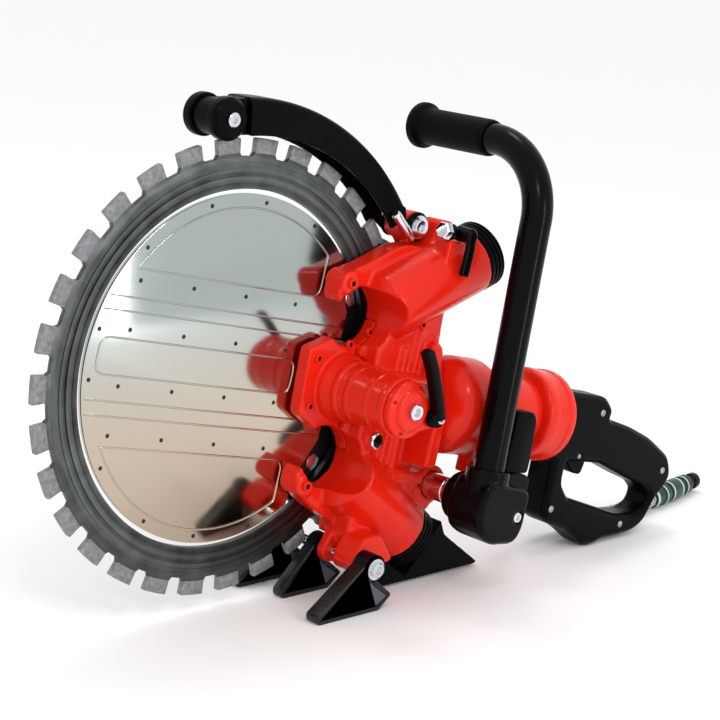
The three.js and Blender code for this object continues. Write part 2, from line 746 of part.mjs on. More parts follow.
function clampLever() {
  const { x, z } = clampLeverPivot;
  const y = clampPad.y;
  const hub = turned([[-17, 4], [-15, clampRadius - 0.5], [-1, clampRadius], [1, 5]], { at: [x, y, z] });
  const section = outline([[-4.5, -2.2], [4.5, -2.2], [4.5, 2.2], [-4.5, 2.2]], 1.5);
  const route = [[0, -14.5, 0], [0, -15.5, -11], [-0.5, -16, -22], [-1, -16, -32]];
  return join(hub, swept(section, route.map(([a, b, c]) => [x + a, y + b, z + c]), 6));
}

piece("clamp_barrel", clampBarrel(), materials.blackPaint);
piece("clamp_nut", clampNut(), materials.chrome);
piece("clamp_lever", clampLever(), materials.blackPaint);

// ---------------------------------------------------------------------------------------------------------
// Air motor
// ---------------------------------------------------------------------------------------------------------

const onMotorAxis = (profile, settings = {}) =>
  turned(profile, { at: [0, motorY, 0], along: [1, 0, 0], sides: 24, ...settings });

function motorBell() {
  const end = bellX + bellLength;
  const inside = bellRadius - motorWall;
  const front = [[bellX, bellRadius - 16], [bellX + 2, bellRadius - 9], [bellX + 7, bellRadius - 3], [bellX + 14, bellRadius]];
  const outside = onMotorAxis([...front, [end - 8, bellRadius], [end - 3, bellRadius - 2], [end, bellRadius - 6]]);
  const hollow = onMotorAxis([[bellX + 8, inside], [end - motorWall, inside]]);
  const shaftHole = onMotorAxis([[bellX - 1, rotorShaftRadius + 2 * running], [bellX + 9, rotorShaftRadius + 2 * running]]);
  const throughHole = onMotorAxis([[end - motorWall - 1, neckRadius - motorWall], [end + 1, neckRadius - motorWall]]);
  return cut(outside, hollow, shaftHole, throughHole);
}

function motorNeck() {
  const end = neckX + neckLength;
  const barrel = onMotorAxis([[neckX, neckRadius], [end, neckRadius]]);
  const lug = block([neckX + 5, neckX + 17], [motorY - 7, motorY + 7], [-54, -neckRadius + 4]);
  const hollow = onMotorAxis([[neckX - 1, neckRadius - motorWall], [end + 1, neckRadius - motorWall]]);
  return cut(join(barrel, lug), hollow);
}

function ratingPlate() {
  const plateThickness = 1.6;
  const inner = neckRadius + gap;
  const ringPart = onMotorAxis([[neckX + 2, inner + plateThickness], [neckX + 40, inner + plateThickness]], { bore: inner });
  const sector = outline([[motorY, 0], [motorY - 26, 60], [motorY + 26, 60]]);
  return ringPart.intersect(bar(sector, [neckX, neckX + 60]));
}

function rearCan() {
  const end = canX + canLength;
  const inside = canRadius - motorWall;
  const outside = onMotorAxis([[canX, canRadius - 3], [canX + 3, canRadius], [end - 5, canRadius], [end, canRadius - 5]]);
  return cut(outside, onMotorAxis([[canX - 1, inside], [end - motorWall, inside]]));
}

// The exhaust silencer sits on the near side of the motor's neck.
function exhaustSilencer() {
  const shape = outline([[230, -34], [256, -34], [256, 1], [251, 9], [230, 9]], 7);
  return plate(shape, [motorY - bellRadius - 10, motorY - 25]).subtract(
    onMotorAxis([[200, neckRadius + gap], [340, neckRadius + gap]]),
  );
}

piece("motor_bell", motorBell(), materials.redPaint);
piece("motor_neck", motorNeck(), materials.redPaint);
piece("rating_plate", ratingPlate(), materials.labelGreen);
piece("rear_can", rearCan(), materials.redPaint);
piece("exhaust_silencer", exhaustSilencer(), materials.blackPlastic);

// ---------------------------------------------------------------------------------------------------------
// Rear handle and trigger
// ---------------------------------------------------------------------------------------------------------

const handleY = [handleMidY - handleThickness / 2, handleMidY + handleThickness / 2];
const triggerPivot = { x: 366, z: -30 };

function rearHandle() {
  const x = handleStartX;
  const bump = floorAt(bumpX);
  const outer = [
    [x, 25], [388, 24], [401, 13], [398, 5], [432, 0], [464, -8], [498, -23], [507, -40], [500, -54], [492, -62],
    [482, -85.5], [470, -94], [447, -99.5], [426, -103], [bumpX + 6, bump + 1.2], [bumpX - 7, bump], [bumpX - 16, bump + 5],
    [376, -97], [345, -91], [336, -85], [334, -36], [x, -32],
  ];
  const inner = [
    [352, -36], [353, -55], [366, -67.5], [440, -79.5], [464, -78.5], [480, -70], [482, -60], [470, -52], [444, -46.5],
    [400, -35],
  ];
  const shape = outline(outer, 6);
  shape.holes.push(outline(inner, 4));
  const body = plate(shape, handleY, { bevel: 4 });
  const pocket = block([359, 391], [handleMidY - 6.2, handleMidY + 6.2], [-44, -22]);
  const pinHole = crossRod(2 + gap, triggerPivot.x, triggerPivot.z, [handleY[0] - 1, handleY[1] + 1], 12);
  return cut(body, pocket, pinHole);
}

function trigger() {
  const half = triggerThickness / 2;
  const shape = outline([[361, -26], [371, -26], [388, -35], [387, -40], [385, -48], [373, -47], [363, -38]], 3);
  const blade = plate(shape, [handleMidY - half, handleMidY + half], { bevel: 1 });
  return cut(blade, crossRod(2 + gap, triggerPivot.x, triggerPivot.z, [handleY[0], handleY[1]], 12));
}

piece("rear_handle", rearHandle(), materials.blackPlastic);
piece("trigger", trigger(), materials.blackPlastic);
piece("trigger_pin", crossRod(2, triggerPivot.x, triggerPivot.z, [handleY[0] + 0.5, handleY[1] - 0.5], 12), materials.steel);

// ---------------------------------------------------------------------------------------------------------
// Front handle
// ---------------------------------------------------------------------------------------------------------

const tubeFootZ = -60;
const clampY = [-122, -74];

// The middle line of the handle tube, from its foot up, round the bend and along to the given Y.
function handlePath(endY) {
  const lean = Math.atan2(tubeLean, handleTopZ - tubeBend - tubeFootZ);
  const points = [];
  const legSteps = 3;
  const bendSteps = 8;
  const legTop = handleTopZ - tubeBend;
  for (let i = 0; i < legSteps; i += 1) {
    const z = tubeFootZ + ((legTop - tubeFootZ) * i) / legSteps;
    points.push([handleX, tubeTopY - (legTop - z) * Math.tan(lean), z]);
  }
  for (let i = 0; i <= bendSteps; i += 1) {
    const angle = 180 - (90 * i) / bendSteps;
    const [y, z] = polar(tubeBend, angle);
    points.push([handleX, tubeTopY + tubeBend + y, legTop + z]);
  }
  points.push([handleX, endY, handleTopZ]);
  return points;
}

function handleTube() {
  const points = handlePath(gripEndY - 8).map(vector);
  const path = new THREE.CurvePath();
  for (let i = 1; i < points.length; i += 1) path.add(new THREE.LineCurve3(points[i - 1], points[i]));
  const rings = points.map((point, i) => {
    const before = points[Math.max(i - 1, 0)];
    const after = points[Math.min(i + 1, points.length - 1)];
    return { point, along: after.clone().sub(before).normalize() };
  });
  return loft(rings, tubeRadius, 14);
}

// A round bar through a list of stations, each with its own direction, in a plane of constant X.
function loft(stations, radius, sides) {
  const positions = [];
  const triangles = [];
  const across = vector([1, 0, 0]);
  stations.forEach(({ point, along }) => {
    const up = new THREE.Vector3().crossVectors(along, across);
    for (let i = 0; i < sides; i += 1) {
      const [a, b] = polar(radius, (360 * i) / sides);
      positions.push(...point.clone().addScaledVector(across, a).addScaledVector(up, b).toArray());
    }
  });
  const ring = (row, i) => row * sides + (i % sides);
  for (let row = 0; row + 1 < stations.length; row += 1) {
    for (let i = 0; i < sides; i += 1) {
      triangles.push(ring(row, i), ring(row, i + 1), ring(row + 1, i + 1));
      triangles.push(ring(row, i), ring(row + 1, i + 1), ring(row + 1, i));
    }
  }
  for (let i = 1; i + 1 < sides; i += 1) {
    triangles.push(0, i + 1, i);
    const last = (stations.length - 1) * sides;
    triangles.push(last, last + i, last + i + 1);
  }
  const geometry = new THREE.BufferGeometry();
  geometry.setAttribute("position", new THREE.Float32BufferAttribute(positions, 3));
  geometry.setIndex(triangles);
  return solidOf(geometry);
}

function handleGrip() {
  const end = gripEndY;
  const at = [handleX, 0, handleTopZ];
  const sleeve = [
    [gripStartY, tubeRadius + 1],
    [gripStartY + 3, gripRadius],
    [end - 12, gripRadius],
    [end - 7, 19],
    [end - 2, 19],
    [end, 17],
  ];
  return cut(turned(sleeve, { at }), crossRod(tubeRadius + gap, handleX, handleTopZ, [gripStartY - 1, end - 7]));
}

function handleClamp() {
  const { x, z, radius } = crossShaft;
  const hub = crossRod(radius + 9, x, z, [clampY[0] + 18, clampY[1]]);
  const front = [[x - 25, -72], [x - 19, -88], [x - 2, -96], [x + 26, -94], [x + 32, -82], [x + 32, -50], [x - 18, -46]];
  const body = plate(outline(front, 6), [clampY[0], clampY[1] - 10], { bevel: 3 });
  const tubeSocket = handlePath(gripEndY).slice(0, 2).map(vector);
  const along = tubeSocket[1].clone().sub(tubeSocket[0]).normalize();
  const start = tubeSocket[0].clone().addScaledVector(along, -gap);
  const socketEnd = tubeSocket[1].toArray();
  const collar = rod(tubeRadius + 5, start.clone().addScaledVector(along, -8).toArray(), start.clone().addScaledVector(along, 22).toArray());
  return cut(
    join(hub, body, collar),
    crossRod(radius + gap, x, z, [crossShaftEnd - gap, clampY[1] + 5]),
    rod(tubeRadius + gap, start.toArray(), socketEnd, 16),
  );
}

const crossShaftEnd = -88;

function handleStay() {
  const x = crossShaft.x + 32 + gap;
  const shape = outline([[x, -88], [x + 20, -90], [x + 25, -82], [x + 25, -46], [x + 20, -42], [x, -42]], 4);
  const foot = block([x + 2, x + 10], [-90, motorY - 7 - gap], [-54, -44]);
  return join(plate(shape, [-96, -86]), foot);
}

piece("cross_shaft", crossRod(crossShaft.radius, crossShaft.x, crossShaft.z, [crossShaftEnd, -23]), materials.chrome);
piece("handle_tube", handleTube(), materials.blackPaint);
piece("handle_grip", handleGrip(), materials.blackRubber);
piece("handle_clamp", handleClamp(), materials.blackPaint);
piece("handle_stay", handleStay(), materials.blackPaint);

// ---------------------------------------------------------------------------------------------------------
// Blade guard, its pivot bolt, stop pin and knob
// ---------------------------------------------------------------------------------------------------------

const degreesOf = ({ x, z }) => THREE.MathUtils.radToDeg(Math.atan2(z, x));

// The guard seen from the side: an arc from its pivot to its front. Its outer radius grows towards the front.
function guardArc(inner, outer, from, to, steps = 14) {
  const outside = Array.from({ length: steps + 1 }, (_, i) =>
    polar(outer + (guardRise * i) / steps, from + ((to - from) * i) / steps),
  );
  const inside = Array.from({ length: steps + 1 }, (_, i) => polar(inner, to - ((to - from) * i) / steps));
  return outline([...outside, ...inside]);
}

function guardShell() {
  const half = guardWidth / 2;
  const inside = half - guardWall;
  const inner = guardOuterRadius - guardDepth;
  const from = degreesOf(guardPivot) + 4.4;
  const to = degreesOf(guardFront) - 6.5;
  const body = plate(guardArc(inner, guardOuterRadius, from, to), [-half, half]);
  const channel = plate(guardArc(inner - 30, guardOuterRadius - guardSkin, from - 8, to - 6), [-inside, inside]);
  const eyes = [[-half, -inside], [inside, half]].map((range) => {
    const eye = crossRod(guardPivot.radius, guardPivot.x, guardPivot.z, range);
    const [x, z] = polar(inner + 1, from + 6);
    const web = outline([[guardPivot.x - 9, guardPivot.z - 8], [x, z], polar(guardOuterRadius, from + 2)]);
    return join(eye, plate(web, range));
  });
  const bolt = crossRod(guardBoltRadius + gap, guardPivot.x, guardPivot.z, [-40, 40], 16);
  const lugHalf = knobHalfLength - 11;
  const { x, z } = guardFront;
  const front = degreesOf(guardFront);
  const top = guardOuterRadius + guardRise - 0.6;
  const noseShape = outline([polar(top, to - 5), polar(top, front - 2), polar(inner + 1.5, front - 1), polar(inner, to - 5)], 2);
  const nose = plate(noseShape, [-lugHalf, lugHalf]);
  const lug = crossRod(knobRadius - 2.5, x, z, [-lugHalf, lugHalf]);
  return cut(join(cut(body, channel), ...eyes, nose, lug), bolt, crossRod(knobWaist + running, x, z, [-40, 40]));
}

function guardPivotBolt() {
  const half = guardWidth / 2 + gap;
  const { x, z } = guardPivot;
  const head = turned([[-half - 4.5, 5], [-half - 4, 6.5], [-half - 1.6, 6.5], [-half - 1.6, 9.5], [-half, 9.5]], {
    at: [x, 0, z],
    sides: 24,
  });
  const nut = turned([[half, 8], [half + 6, 8]], { at: [x, 0, z], sides: 6 });
  return join(head, crossRod(guardBoltRadius, x, z, [-half - 1, half + 1], 16), nut);
}

function guardStopPin() {
  const y = -guardWidth / 2 - gap - 4;
  return turned([[0, 3], [1, 4], [24, 4], [25, 2.6], [30, 2.6]], { at: [118, y, 141], along: [22, 0, -15], sides: 16 });
}

function knobHalf(side) {
  const profile = [
    [0.15, knobWaist],
    [knobHalfLength - 10.6, knobWaist],
    [knobHalfLength - 10.6, knobRadius],
    [knobHalfLength - 3, knobRadius],
    [knobHalfLength, knobRadius - 3],
  ];
  const { x, z } = guardFront;
  return turned(profile, { at: [x, 0, z], along: [0, side, 0], bore: 3 + gap });
}

function knobScrew() {
  const { x, z } = guardFront;
  const end = knobHalfLength + gap;
  const head = turned([[-end - 3, 4.5], [-end - 2.4, 5.5], [-end, 5.5]], { at: [x, 0, z], sides: 16 });
  const nut = turned([[end, 5.5], [end + 3, 5.5]], { at: [x, 0, z], sides: 6 });
  return join(head, crossRod(3, x, z, [-end - 1, end + 1], 12), nut);
}

piece("guard_shell", guardShell(), materials.blackPlastic);
piece("guard_pivot_bolt", guardPivotBolt(), materials.chrome);
piece("guard_stop_pin", guardStopPin(), materials.chrome);
piece("guard_knob_near", knobHalf(-1), materials.blackPlastic);
piece("guard_knob_far", knobHalf(1), materials.blackPlastic);
piece("guard_knob_screw", knobScrew(), materials.chrome);

// ---------------------------------------------------------------------------------------------------------
// Feet on one cross shaft, and the splash skirt
// ---------------------------------------------------------------------------------------------------------

function foot([y0, y1], tipX) {
  const { x, z, radius } = footPivot;
  const sole = (at) => [at, floorAt(at)];
  const heel = [[142, floorAt(142)], [153, -150], [x + 5, z - 9]];
  const shape = outline([[x - radius + 1, z + 3], [tipX - 3, floorAt(tipX) + 6], sole(tipX), sole(138), ...heel], 3);
  const blade = join(plate(shape, [y0, y1]), crossRod(radius, x, z, [y0, y1]));
  return cut(blade, crossRod(footShaftRadius + gap, x, z, [y0 - 1, y1 + 1], 16));
}

function footShaft() {
  const { x, z } = footPivot;
  const near = nearFootY[0] - gap;
  const far = farFootY[1] + gap;
  const head = turned([[near - 5, 4.5], [near - 4, 6], [near - 1.5, 6], [near - 1.5, 8.5], [near, 8.5]], {
    at: [x, 0, z],
    sides: 24,
  });
  const collar = crossRod(7, x, z, [farFootY[0] - 6, farFootY[0] - gap], 20);
  const nut = turned([[far, 7], [far + 5, 7]], { at: [x, 0, z], sides: 6 });
  return join(head, crossRod(footShaftRadius, x, z, [near - 1, far + 1], 16), collar, nut);
}

function splashSkirt() {
  const low = (x) => [x, floorAt(x) + 2];
  const shape = outline([low(164), low(283), [286, -131], [238, -109], [230, -97], [201.5, -146], [176, -134]], 2);
  return cut(plate(shape, [lowerNearY + 1, -14]), plate(outline(pushedOut(lowerOutline, 1)), [-60, 0]));
}

piece("near_foot", foot(nearFootY, soleFront.x), materials.footGrey);
piece("mid_foot", foot(midFootY, soleFront.x + 14), materials.footGrey);
piece("far_foot", foot(farFootY, soleFront.x), materials.footGrey);
piece("foot_shaft", footShaft(), materials.chrome);
piece("splash_skirt", splashSkirt(), materials.blackRubber);

// ---------------------------------------------------------------------------------------------------------
// Air hose: the inlet under the motor, the braided hose along the floor and its coupling
// ---------------------------------------------------------------------------------------------------------

// Middle line of the hose: X from the ring's centre, Z up from the floor.
const hoseRoute = [
  [306, -16, 76.2], [316, -16.2, 65.8], [326.5, -16.6, 55.2], [338, -17, 44.6], [350.5, -17.5, 34.4],
  [365, -18, 24.8], [381, -18.8, 16.9], [398.5, -19.5, 11.2], [417, -20.5, 8.3], [436, -21, 7.7],
  [455, -21.3, 7.7], [474, -21.2, 7.7], [490, -20.6, 8.2], [504, -18.8, 9.2], [518, -16.3, 10.3],
];

const centreHeight = -(soleFront.z - soleFront.x * Math.tan(pitch)) * Math.cos(pitch);

const hoseEnd = vector(hoseRoute[hoseRoute.length - 1]);
const couplingAlong = vector([16, 3.2, 0]).normalize();
const hoseStart = vector(hoseRoute[0]);
const inletAlong = hoseStart.clone().sub(vector(hoseRoute[1])).normalize();

// A point or a direction of the hose, turned into the saw frame.
const intoSaw = (point, isDirection = false) => {
  const place = point.clone();
  if (!isDirection) place.z -= centreHeight;
  return place.applyAxisAngle(vector([0, 1, 0]), -pitch).toArray();
};

function inletFitting() {
  const profile = [[gap, 9], [16, 9], [16.5, 11], [24, 11], [24.5, 8], [44, 8]];
  const fitting = turned(profile, { at: intoSaw(hoseStart), along: intoSaw(inletAlong, true), sides: 16 });
  return cut(fitting, onMotorAxis([[neckX, canRadius + gap], [handleStartX + 60, canRadius + gap]]));
}

function couplingBody() {
  const profile = [[2 * gap, 9], [18, 9], [18.5, couplingRadius], [28, couplingRadius], [29, 8.5], [32, 8.5], [32.5, couplingRadius]];
  profile.push([56, couplingRadius], [57, 8], [61, 8], [62, couplingRadius - 0.5], [74, couplingRadius - 0.5]);
  return turned(profile, { at: hoseEnd.toArray(), along: couplingAlong.toArray(), sides: 16 });
}

function couplingPlug() {
  const profile = [[74 + gap, 6.5], [84, 6.5], [85, 8], [93, 8], [95, 6.5]];
  return turned(profile, { at: hoseEnd.toArray(), along: couplingAlong.toArray(), sides: 16 });
}

piece("hose_inlet", inletFitting(), materials.steel);
piece("air_hose", swept(roundSection(hoseRadius, 8), hoseRoute, 20), materials.braid, ground);
piece("coupling_body", couplingBody(), materials.couplingGreen, ground);
piece("coupling_plug", couplingPlug(), materials.blackPaint, ground);

// ---------------------------------------------------------------------------------------------------------
// Stand the saw on the floor, with the origin under the middle of its box
// ---------------------------------------------------------------------------------------------------------

saw.rotation.y = pitch;
saw.position.z = centreHeight;
part.updateMatrixWorld(true);
const box = new THREE.Box3().setFromObject(saw, true);
part.position.set(-(box.min.x + box.max.x) / 2, -(box.min.y + box.max.y) / 2, 0);
part.updateMatrixWorld(true);

export default part;
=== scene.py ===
# Looks of an air-driven rescue ring saw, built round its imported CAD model.
# Shapes are drawn in the saw frame, in millimetres: the ring blade's centre is the origin, +X runs back along
# the motor, the ring turns about Y and -Y is the operator's left. SAW takes them to the row frame in metres.
import math
import bmesh
import bpy
from mathutils import Matrix, Vector


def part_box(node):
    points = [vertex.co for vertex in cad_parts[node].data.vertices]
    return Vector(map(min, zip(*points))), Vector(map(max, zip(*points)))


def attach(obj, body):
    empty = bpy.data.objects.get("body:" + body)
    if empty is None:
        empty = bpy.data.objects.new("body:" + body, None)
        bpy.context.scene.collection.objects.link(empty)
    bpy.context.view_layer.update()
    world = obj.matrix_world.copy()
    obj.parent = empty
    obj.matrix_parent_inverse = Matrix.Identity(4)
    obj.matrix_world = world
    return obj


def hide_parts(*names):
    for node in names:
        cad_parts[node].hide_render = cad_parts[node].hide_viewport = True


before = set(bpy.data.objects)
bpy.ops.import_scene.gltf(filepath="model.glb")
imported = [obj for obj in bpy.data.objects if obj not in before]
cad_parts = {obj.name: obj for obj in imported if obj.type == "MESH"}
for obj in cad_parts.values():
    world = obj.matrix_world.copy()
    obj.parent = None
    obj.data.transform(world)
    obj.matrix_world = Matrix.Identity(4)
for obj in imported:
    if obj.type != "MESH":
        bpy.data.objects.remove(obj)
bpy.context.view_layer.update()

MM = 0.001
PITCH = math.radians(11.3)
RING_LOW, RING_HIGH = (Vector(corner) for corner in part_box("ring_blade"))
CENTRE = (RING_LOW + RING_HIGH) / 2
TURN = Matrix.Rotation(PITCH, 4, "Y")
SAW = Matrix.Translation(CENTRE) @ TURN @ Matrix.Scale(MM, 4)
FLOOR = Matrix.Translation((CENTRE.x, CENTRE.y, 0)) @ Matrix.Scale(MM, 4)
HARD, CAST = 30, 60  # degrees over which an edge stays sharp: on bolts, and on castings and mouldings

# ---- Sizes shared with the CAD model ----

GAP = 0.3
RING_RADIUS, RING_INNER, RING_THICK = 175.0, 137.4, 4.5
SEGMENTS, SEGMENT_ARC, SEGMENT_PHASE = 30, 7.0, 57.8
SEGMENT_HEIGHT, SEGMENT_THICK, GULLET_DEPTH = 11.2, 5.2, 13.5
GROOVE_RADIUS, GROOVE_WIDTH, GROOVE_DEPTH = 148.5, 3.0, 1.0
DISC_RADIUS, DISC_THICK = 134.0, 4.0
NEAR_FACE = -5.0
WHEEL_RADIUS, WHEEL_FLANGE = 32.0, 2.6
DRIVE_X = RING_INNER - WHEEL_RADIUS - 0.4
BOSS_RADIUS, COLLAR_RADIUS, BOSS_END, BOSS_CAP = 22.5, 27.0, -88.0, 7.0
ROLLER_ANGLE, ROLLER_RADIUS = 29.5, 24.0
ROLLER_Y = -(RING_THICK / 2 - GROOVE_DEPTH + GAP + ROLLER_RADIUS)
HOUSING_BORE, HOUSING_RADIUS = 24.8, 28.0
UPPER_END, LOWER_END, FAR_END = 236.0, 222.0, 192.0
CAP_DEPTH = 21.0
MOTOR_Y = -45.0
FLANGE_X, FLANGE_THICK = 168.0, 12.0
BELL_X, BELL_LENGTH, BELL_RADIUS = 180.3, 48.0, 40.0
NECK_X, NECK_LENGTH, NECK_RADIUS = 228.6, 56.0, 31.0
CAN_X, CAN_LENGTH, CAN_RADIUS = 284.9, 38.0, 39.0
OPENING_X, OPENING_Z, OPENING_RADIUS = 101.5, 56.2, 24.6
HANDLE_X, TOP_Z, BEND, TUBE_Y, TUBE_LEAN, TUBE_RADIUS = 200.0, 216.0, 61.0, -92.0, 12.0, 12.5
TUBE_FOOT_Z = -60.0
GRIP_START, GRIP_END, GRIP_RADIUS = -28.0, 55.0, 15.0
SHAFT_X, SHAFT_Z, SHAFT_RADIUS = 204.0, -67.0, 11.0
GUARD_RADIUS, GUARD_RISE, GUARD_DEPTH, GUARD_HALF, GUARD_WALL, GUARD_SKIN = 199.0, 7.0, 21.0, 15.5, 3.5, 4.0
PIVOT_X, PIVOT_Z, PIVOT_RADIUS = 151.0, 134.0, 12.0
KNOB_X, KNOB_Z, KNOB_RADIUS, KNOB_WAIST, KNOB_HALF = -64.0, 182.0, 16.0, 9.0, 20.0
FOOT_X, FOOT_Z, FOOT_RADIUS = 127.0, -130.0, 11.0
SOLE_X, SOLE_Z = 80.0, -176.0
HOSE_RADIUS, COUPLING_RADIUS = 7.5, 10.0
LEVER_X, LEVER_Y, LEVER_Z = 129.0, -99.0, -3.0
CLAMP_X, CLAMP_Y, CLAMP_Z, CLAMP_RADIUS = 158.0, -42.0, 136.5, 6.5
LOWER_NEAR = -42.0
THROAT_RADIUS = 20.5

# ---- Camera and light ----

def add_object(name, data):
    thing = bpy.data.objects.new(name, data)
    bpy.context.scene.collection.objects.link(thing)
    return thing


def add_camera():
    data = bpy.data.cameras.new("camera")
    data.lens = 97
    data.clip_end = 90
    camera = add_object("camera", data)
    right = Vector((0.6971, -0.6821, 0.2209)).normalized()
    back = Vector((-0.7111, -0.6969, 0.0922)).normalized()
    up = back.cross(right).normalized()
    right = up.cross(back)
    axes = Matrix((right, up, back)).transposed().to_4x4()
    place = Matrix.Translation(SAW @ Vector((-964.7, -1079.1, 163.4)))
    camera.matrix_world = place @ TURN @ axes
    bpy.context.scene.camera = camera


def add_light(name, place, size, power, aim=(0.0, 0.0, 0.2), tall=1):
    data = bpy.data.lights.new(name, "AREA")
    data.shape = "RECTANGLE"
    data.size = size
    data.size_y = size * tall
    data.energy = power
    lamp = add_object(name, data)
    lamp.location = place
    lamp.rotation_euler = (Vector(aim) - Vector(place)).to_track_quat("-Z", "Y").to_euler()


def add_studio():
    world = bpy.data.worlds.new("studio")
    world.use_nodes = True
    background = world.node_tree.nodes["Background"]
    background.inputs["Color"].default_value = (1, 1, 1, 1)
    background.inputs["Strength"].default_value = 1.0
    bpy.context.scene.world = world
    bpy.context.scene.view_settings.view_transform = "Standard"
    add_light("key", (-1.1, -1.3, 1.9), 0.4, 7)
    add_light("strip", (0.35, -1.9, 0.6), 0.1, 8, tall=12)
    add_light("top", (0.3, 0.5, 2.0), 0.4, 5)
    floor = bpy.data.meshes.new("floor")
    half = 40.0
    corners = [(-half, -half, 0), (half, -half, 0), (half, half, 0), (-half, half, 0)]
    floor.from_pydata(corners, [], [(0, 1, 2, 3)])
    ground = add_object("floor", floor)
    floor.materials.append(plain("floor_paper", (250, 250, 250)))

# ---- Materials ----

def linear(value):
    value /= 255
    return value / 12.92 if value <= 0.04045 else ((value + 0.055) / 1.055) ** 2.4


def colour_of(rgb):
    return (*[linear(value) for value in rgb], 1)


def noise_node(tree, source, scale, detail=3):
    noise = tree.nodes.new("ShaderNodeTexNoise")
    noise.inputs["Scale"].default_value = scale
    noise.inputs["Detail"].default_value = detail
    tree.links.new(source, noise.inputs["Vector"])
    return noise.outputs["Fac"]


def spread(tree, source, low, high):
    ramp = tree.nodes.new("ShaderNodeMapRange")
    ramp.inputs["From Min"].default_value = 0.3
    ramp.inputs["From Max"].default_value = 0.7
    ramp.inputs["To Min"].default_value = low
    ramp.inputs["To Max"].default_value = high
    tree.links.new(source, ramp.inputs["Value"])
    return ramp.outputs["Result"]


def material(name, rgb, second=None, rough=0.4, rough_spread=0.06, metal=0.0, grain=(500, 0.05),
             mottle=40, coat=0.0, specular=0.5, pattern=None):
    """A surface of two close colours in slow patches, with fine grain in its roughness and its bump."""
    made = bpy.data.materials.new(name)
    made.use_nodes = True
    tree = made.node_tree
    shader = tree.nodes["Principled BSDF"]
    shader.inputs["Metallic"].default_value = metal
    shader.inputs["Coat Weight"].default_value = coat
    shader.inputs["Coat Roughness"].default_value = 0.06
    shader.inputs["Specular IOR Level"].default_value = specular
    place = tree.nodes.new("ShaderNodeTexCoord").outputs["Object"]
    second = second or [value * 0.82 for value in rgb]
    patches = noise_node(tree, place, mottle, 4)
    fine = noise_node(tree, place, grain[0], 4)
    if pattern:
        patches, fine = pattern(tree, place, patches, fine)
    if pattern is concentric:
        shader.inputs["Anisotropic"].default_value = 0.85
        tree.links.new(round_the_ring(tree, place), shader.inputs["Tangent"])
    mix = tree.nodes.new("ShaderNodeMix")
    mix.data_type = "RGBA"
    mix.inputs["A"].default_value = colour_of(rgb)
    mix.inputs["B"].default_value = colour_of(second)
    tree.links.new(spread(tree, patches, 0, 1), mix.inputs["Factor"])
    tree.links.new(mix.outputs["Result"], shader.inputs["Base Color"])
    roughness = spread(tree, fine, rough - rough_spread, rough + rough_spread)
    tree.links.new(roughness, shader.inputs["Roughness"])
    bump = tree.nodes.new("ShaderNodeBump")
    bump.inputs["Strength"].default_value = grain[1]
    bump.inputs["Distance"].default_value = 0.001
    tree.links.new(fine, bump.inputs["Height"])
    tree.links.new(bump.outputs["Normal"], shader.inputs["Normal"])
    return made


def plain(name, rgb):
    made = bpy.data.materials.new(name)
    made.use_nodes = True
    shader = made.node_tree.nodes["Principled BSDF"]
    shader.inputs["Base Color"].default_value = colour_of(rgb)
    shader.inputs["Roughness"].default_value = 1.0
    shader.inputs["Specular IOR Level"].default_value = 0.0
    return made


def math_node(tree, operation, first, second=0.0):
    node = tree.nodes.new("ShaderNodeMath")
    node.operation = operation
    for socket, value in zip(node.inputs, (first, second)):
        if isinstance(value, (int, float)):
            socket.default_value = value
        else:
            tree.links.new(value, socket)
    return node.outputs[0]


def vector_node(tree, operation, first, second=None):
    node = tree.nodes.new("ShaderNodeVectorMath")
    node.operation = operation
    tree.links.new(first, node.inputs[0])
    if second is not None:
        node.inputs[1].default_value = second
    return node.outputs["Value" if operation == "LENGTH" else "Vector"]


def round_the_ring(tree, place):
    """The direction in which the ring turns, at each point of it."""
    shift = vector_node(tree, "SUBTRACT", place, CENTRE)
    return vector_node(tree, "CROSS_PRODUCT", shift, (0, 1, 0))


def concentric(tree, place, patches, fine):
    """Turned finish: every mark runs round the ring's axis."""
    shift = vector_node(tree, "SUBTRACT", place, CENTRE)
    radius = vector_node(tree, "LENGTH", vector_node(tree, "MULTIPLY", shift, (1, 0, 1)))
    line = tree.nodes.new("ShaderNodeCombineXYZ")
    tree.links.new(radius, line.inputs["X"])
    rings = noise_node(tree, line.outputs["Vector"], 900, 5)
    bands = noise_node(tree, line.outputs["Vector"], 160, 2)
    mixed = math_node(tree, "ADD", math_node(tree, "MULTIPLY", bands, 0.65),
                      math_node(tree, "MULTIPLY", patches, 0.35))
    return mixed, rings


def painted_reflection_grade(tree, place, patches, fine):
    """Painted reflection: one colour low on the disc, passing into the other near its middle."""
    split = tree.nodes.new("ShaderNodeSeparateXYZ")
    tree.links.new(place, split.inputs["Vector"])
    height = math_node(tree, "SUBTRACT", split.outputs["Z"], CENTRE.z)
    rise = math_node(tree, "MULTIPLY", height, 4.0)
    return math_node(tree, "ADD", rise, 0.5), fine


def woven(tree, place, patches, fine):
    """Braided wire: two sets of strands that cross along the tube's own coordinates."""
    uv = tree.nodes.new("ShaderNodeTexCoord").outputs["UV"]
    split = tree.nodes.new("ShaderNodeSeparateXYZ")
    tree.links.new(uv, split.inputs["Vector"])
    along = math_node(tree, "MULTIPLY", split.outputs["Y"], 2 * math.pi * 42)
    around = math_node(tree, "MULTIPLY", split.outputs["X"], 2 * math.pi * 8)
    one = math_node(tree, "SINE", math_node(tree, "ADD", along, around))
    two = math_node(tree, "SINE", math_node(tree, "SUBTRACT", along, around))
    weave = math_node(tree, "MAXIMUM", one, two)
    height = math_node(tree, "ADD", math_node(tree, "MULTIPLY", weave, 0.3), 0.5)
    return math_node(tree, "SUBTRACT", 1.0, height), height


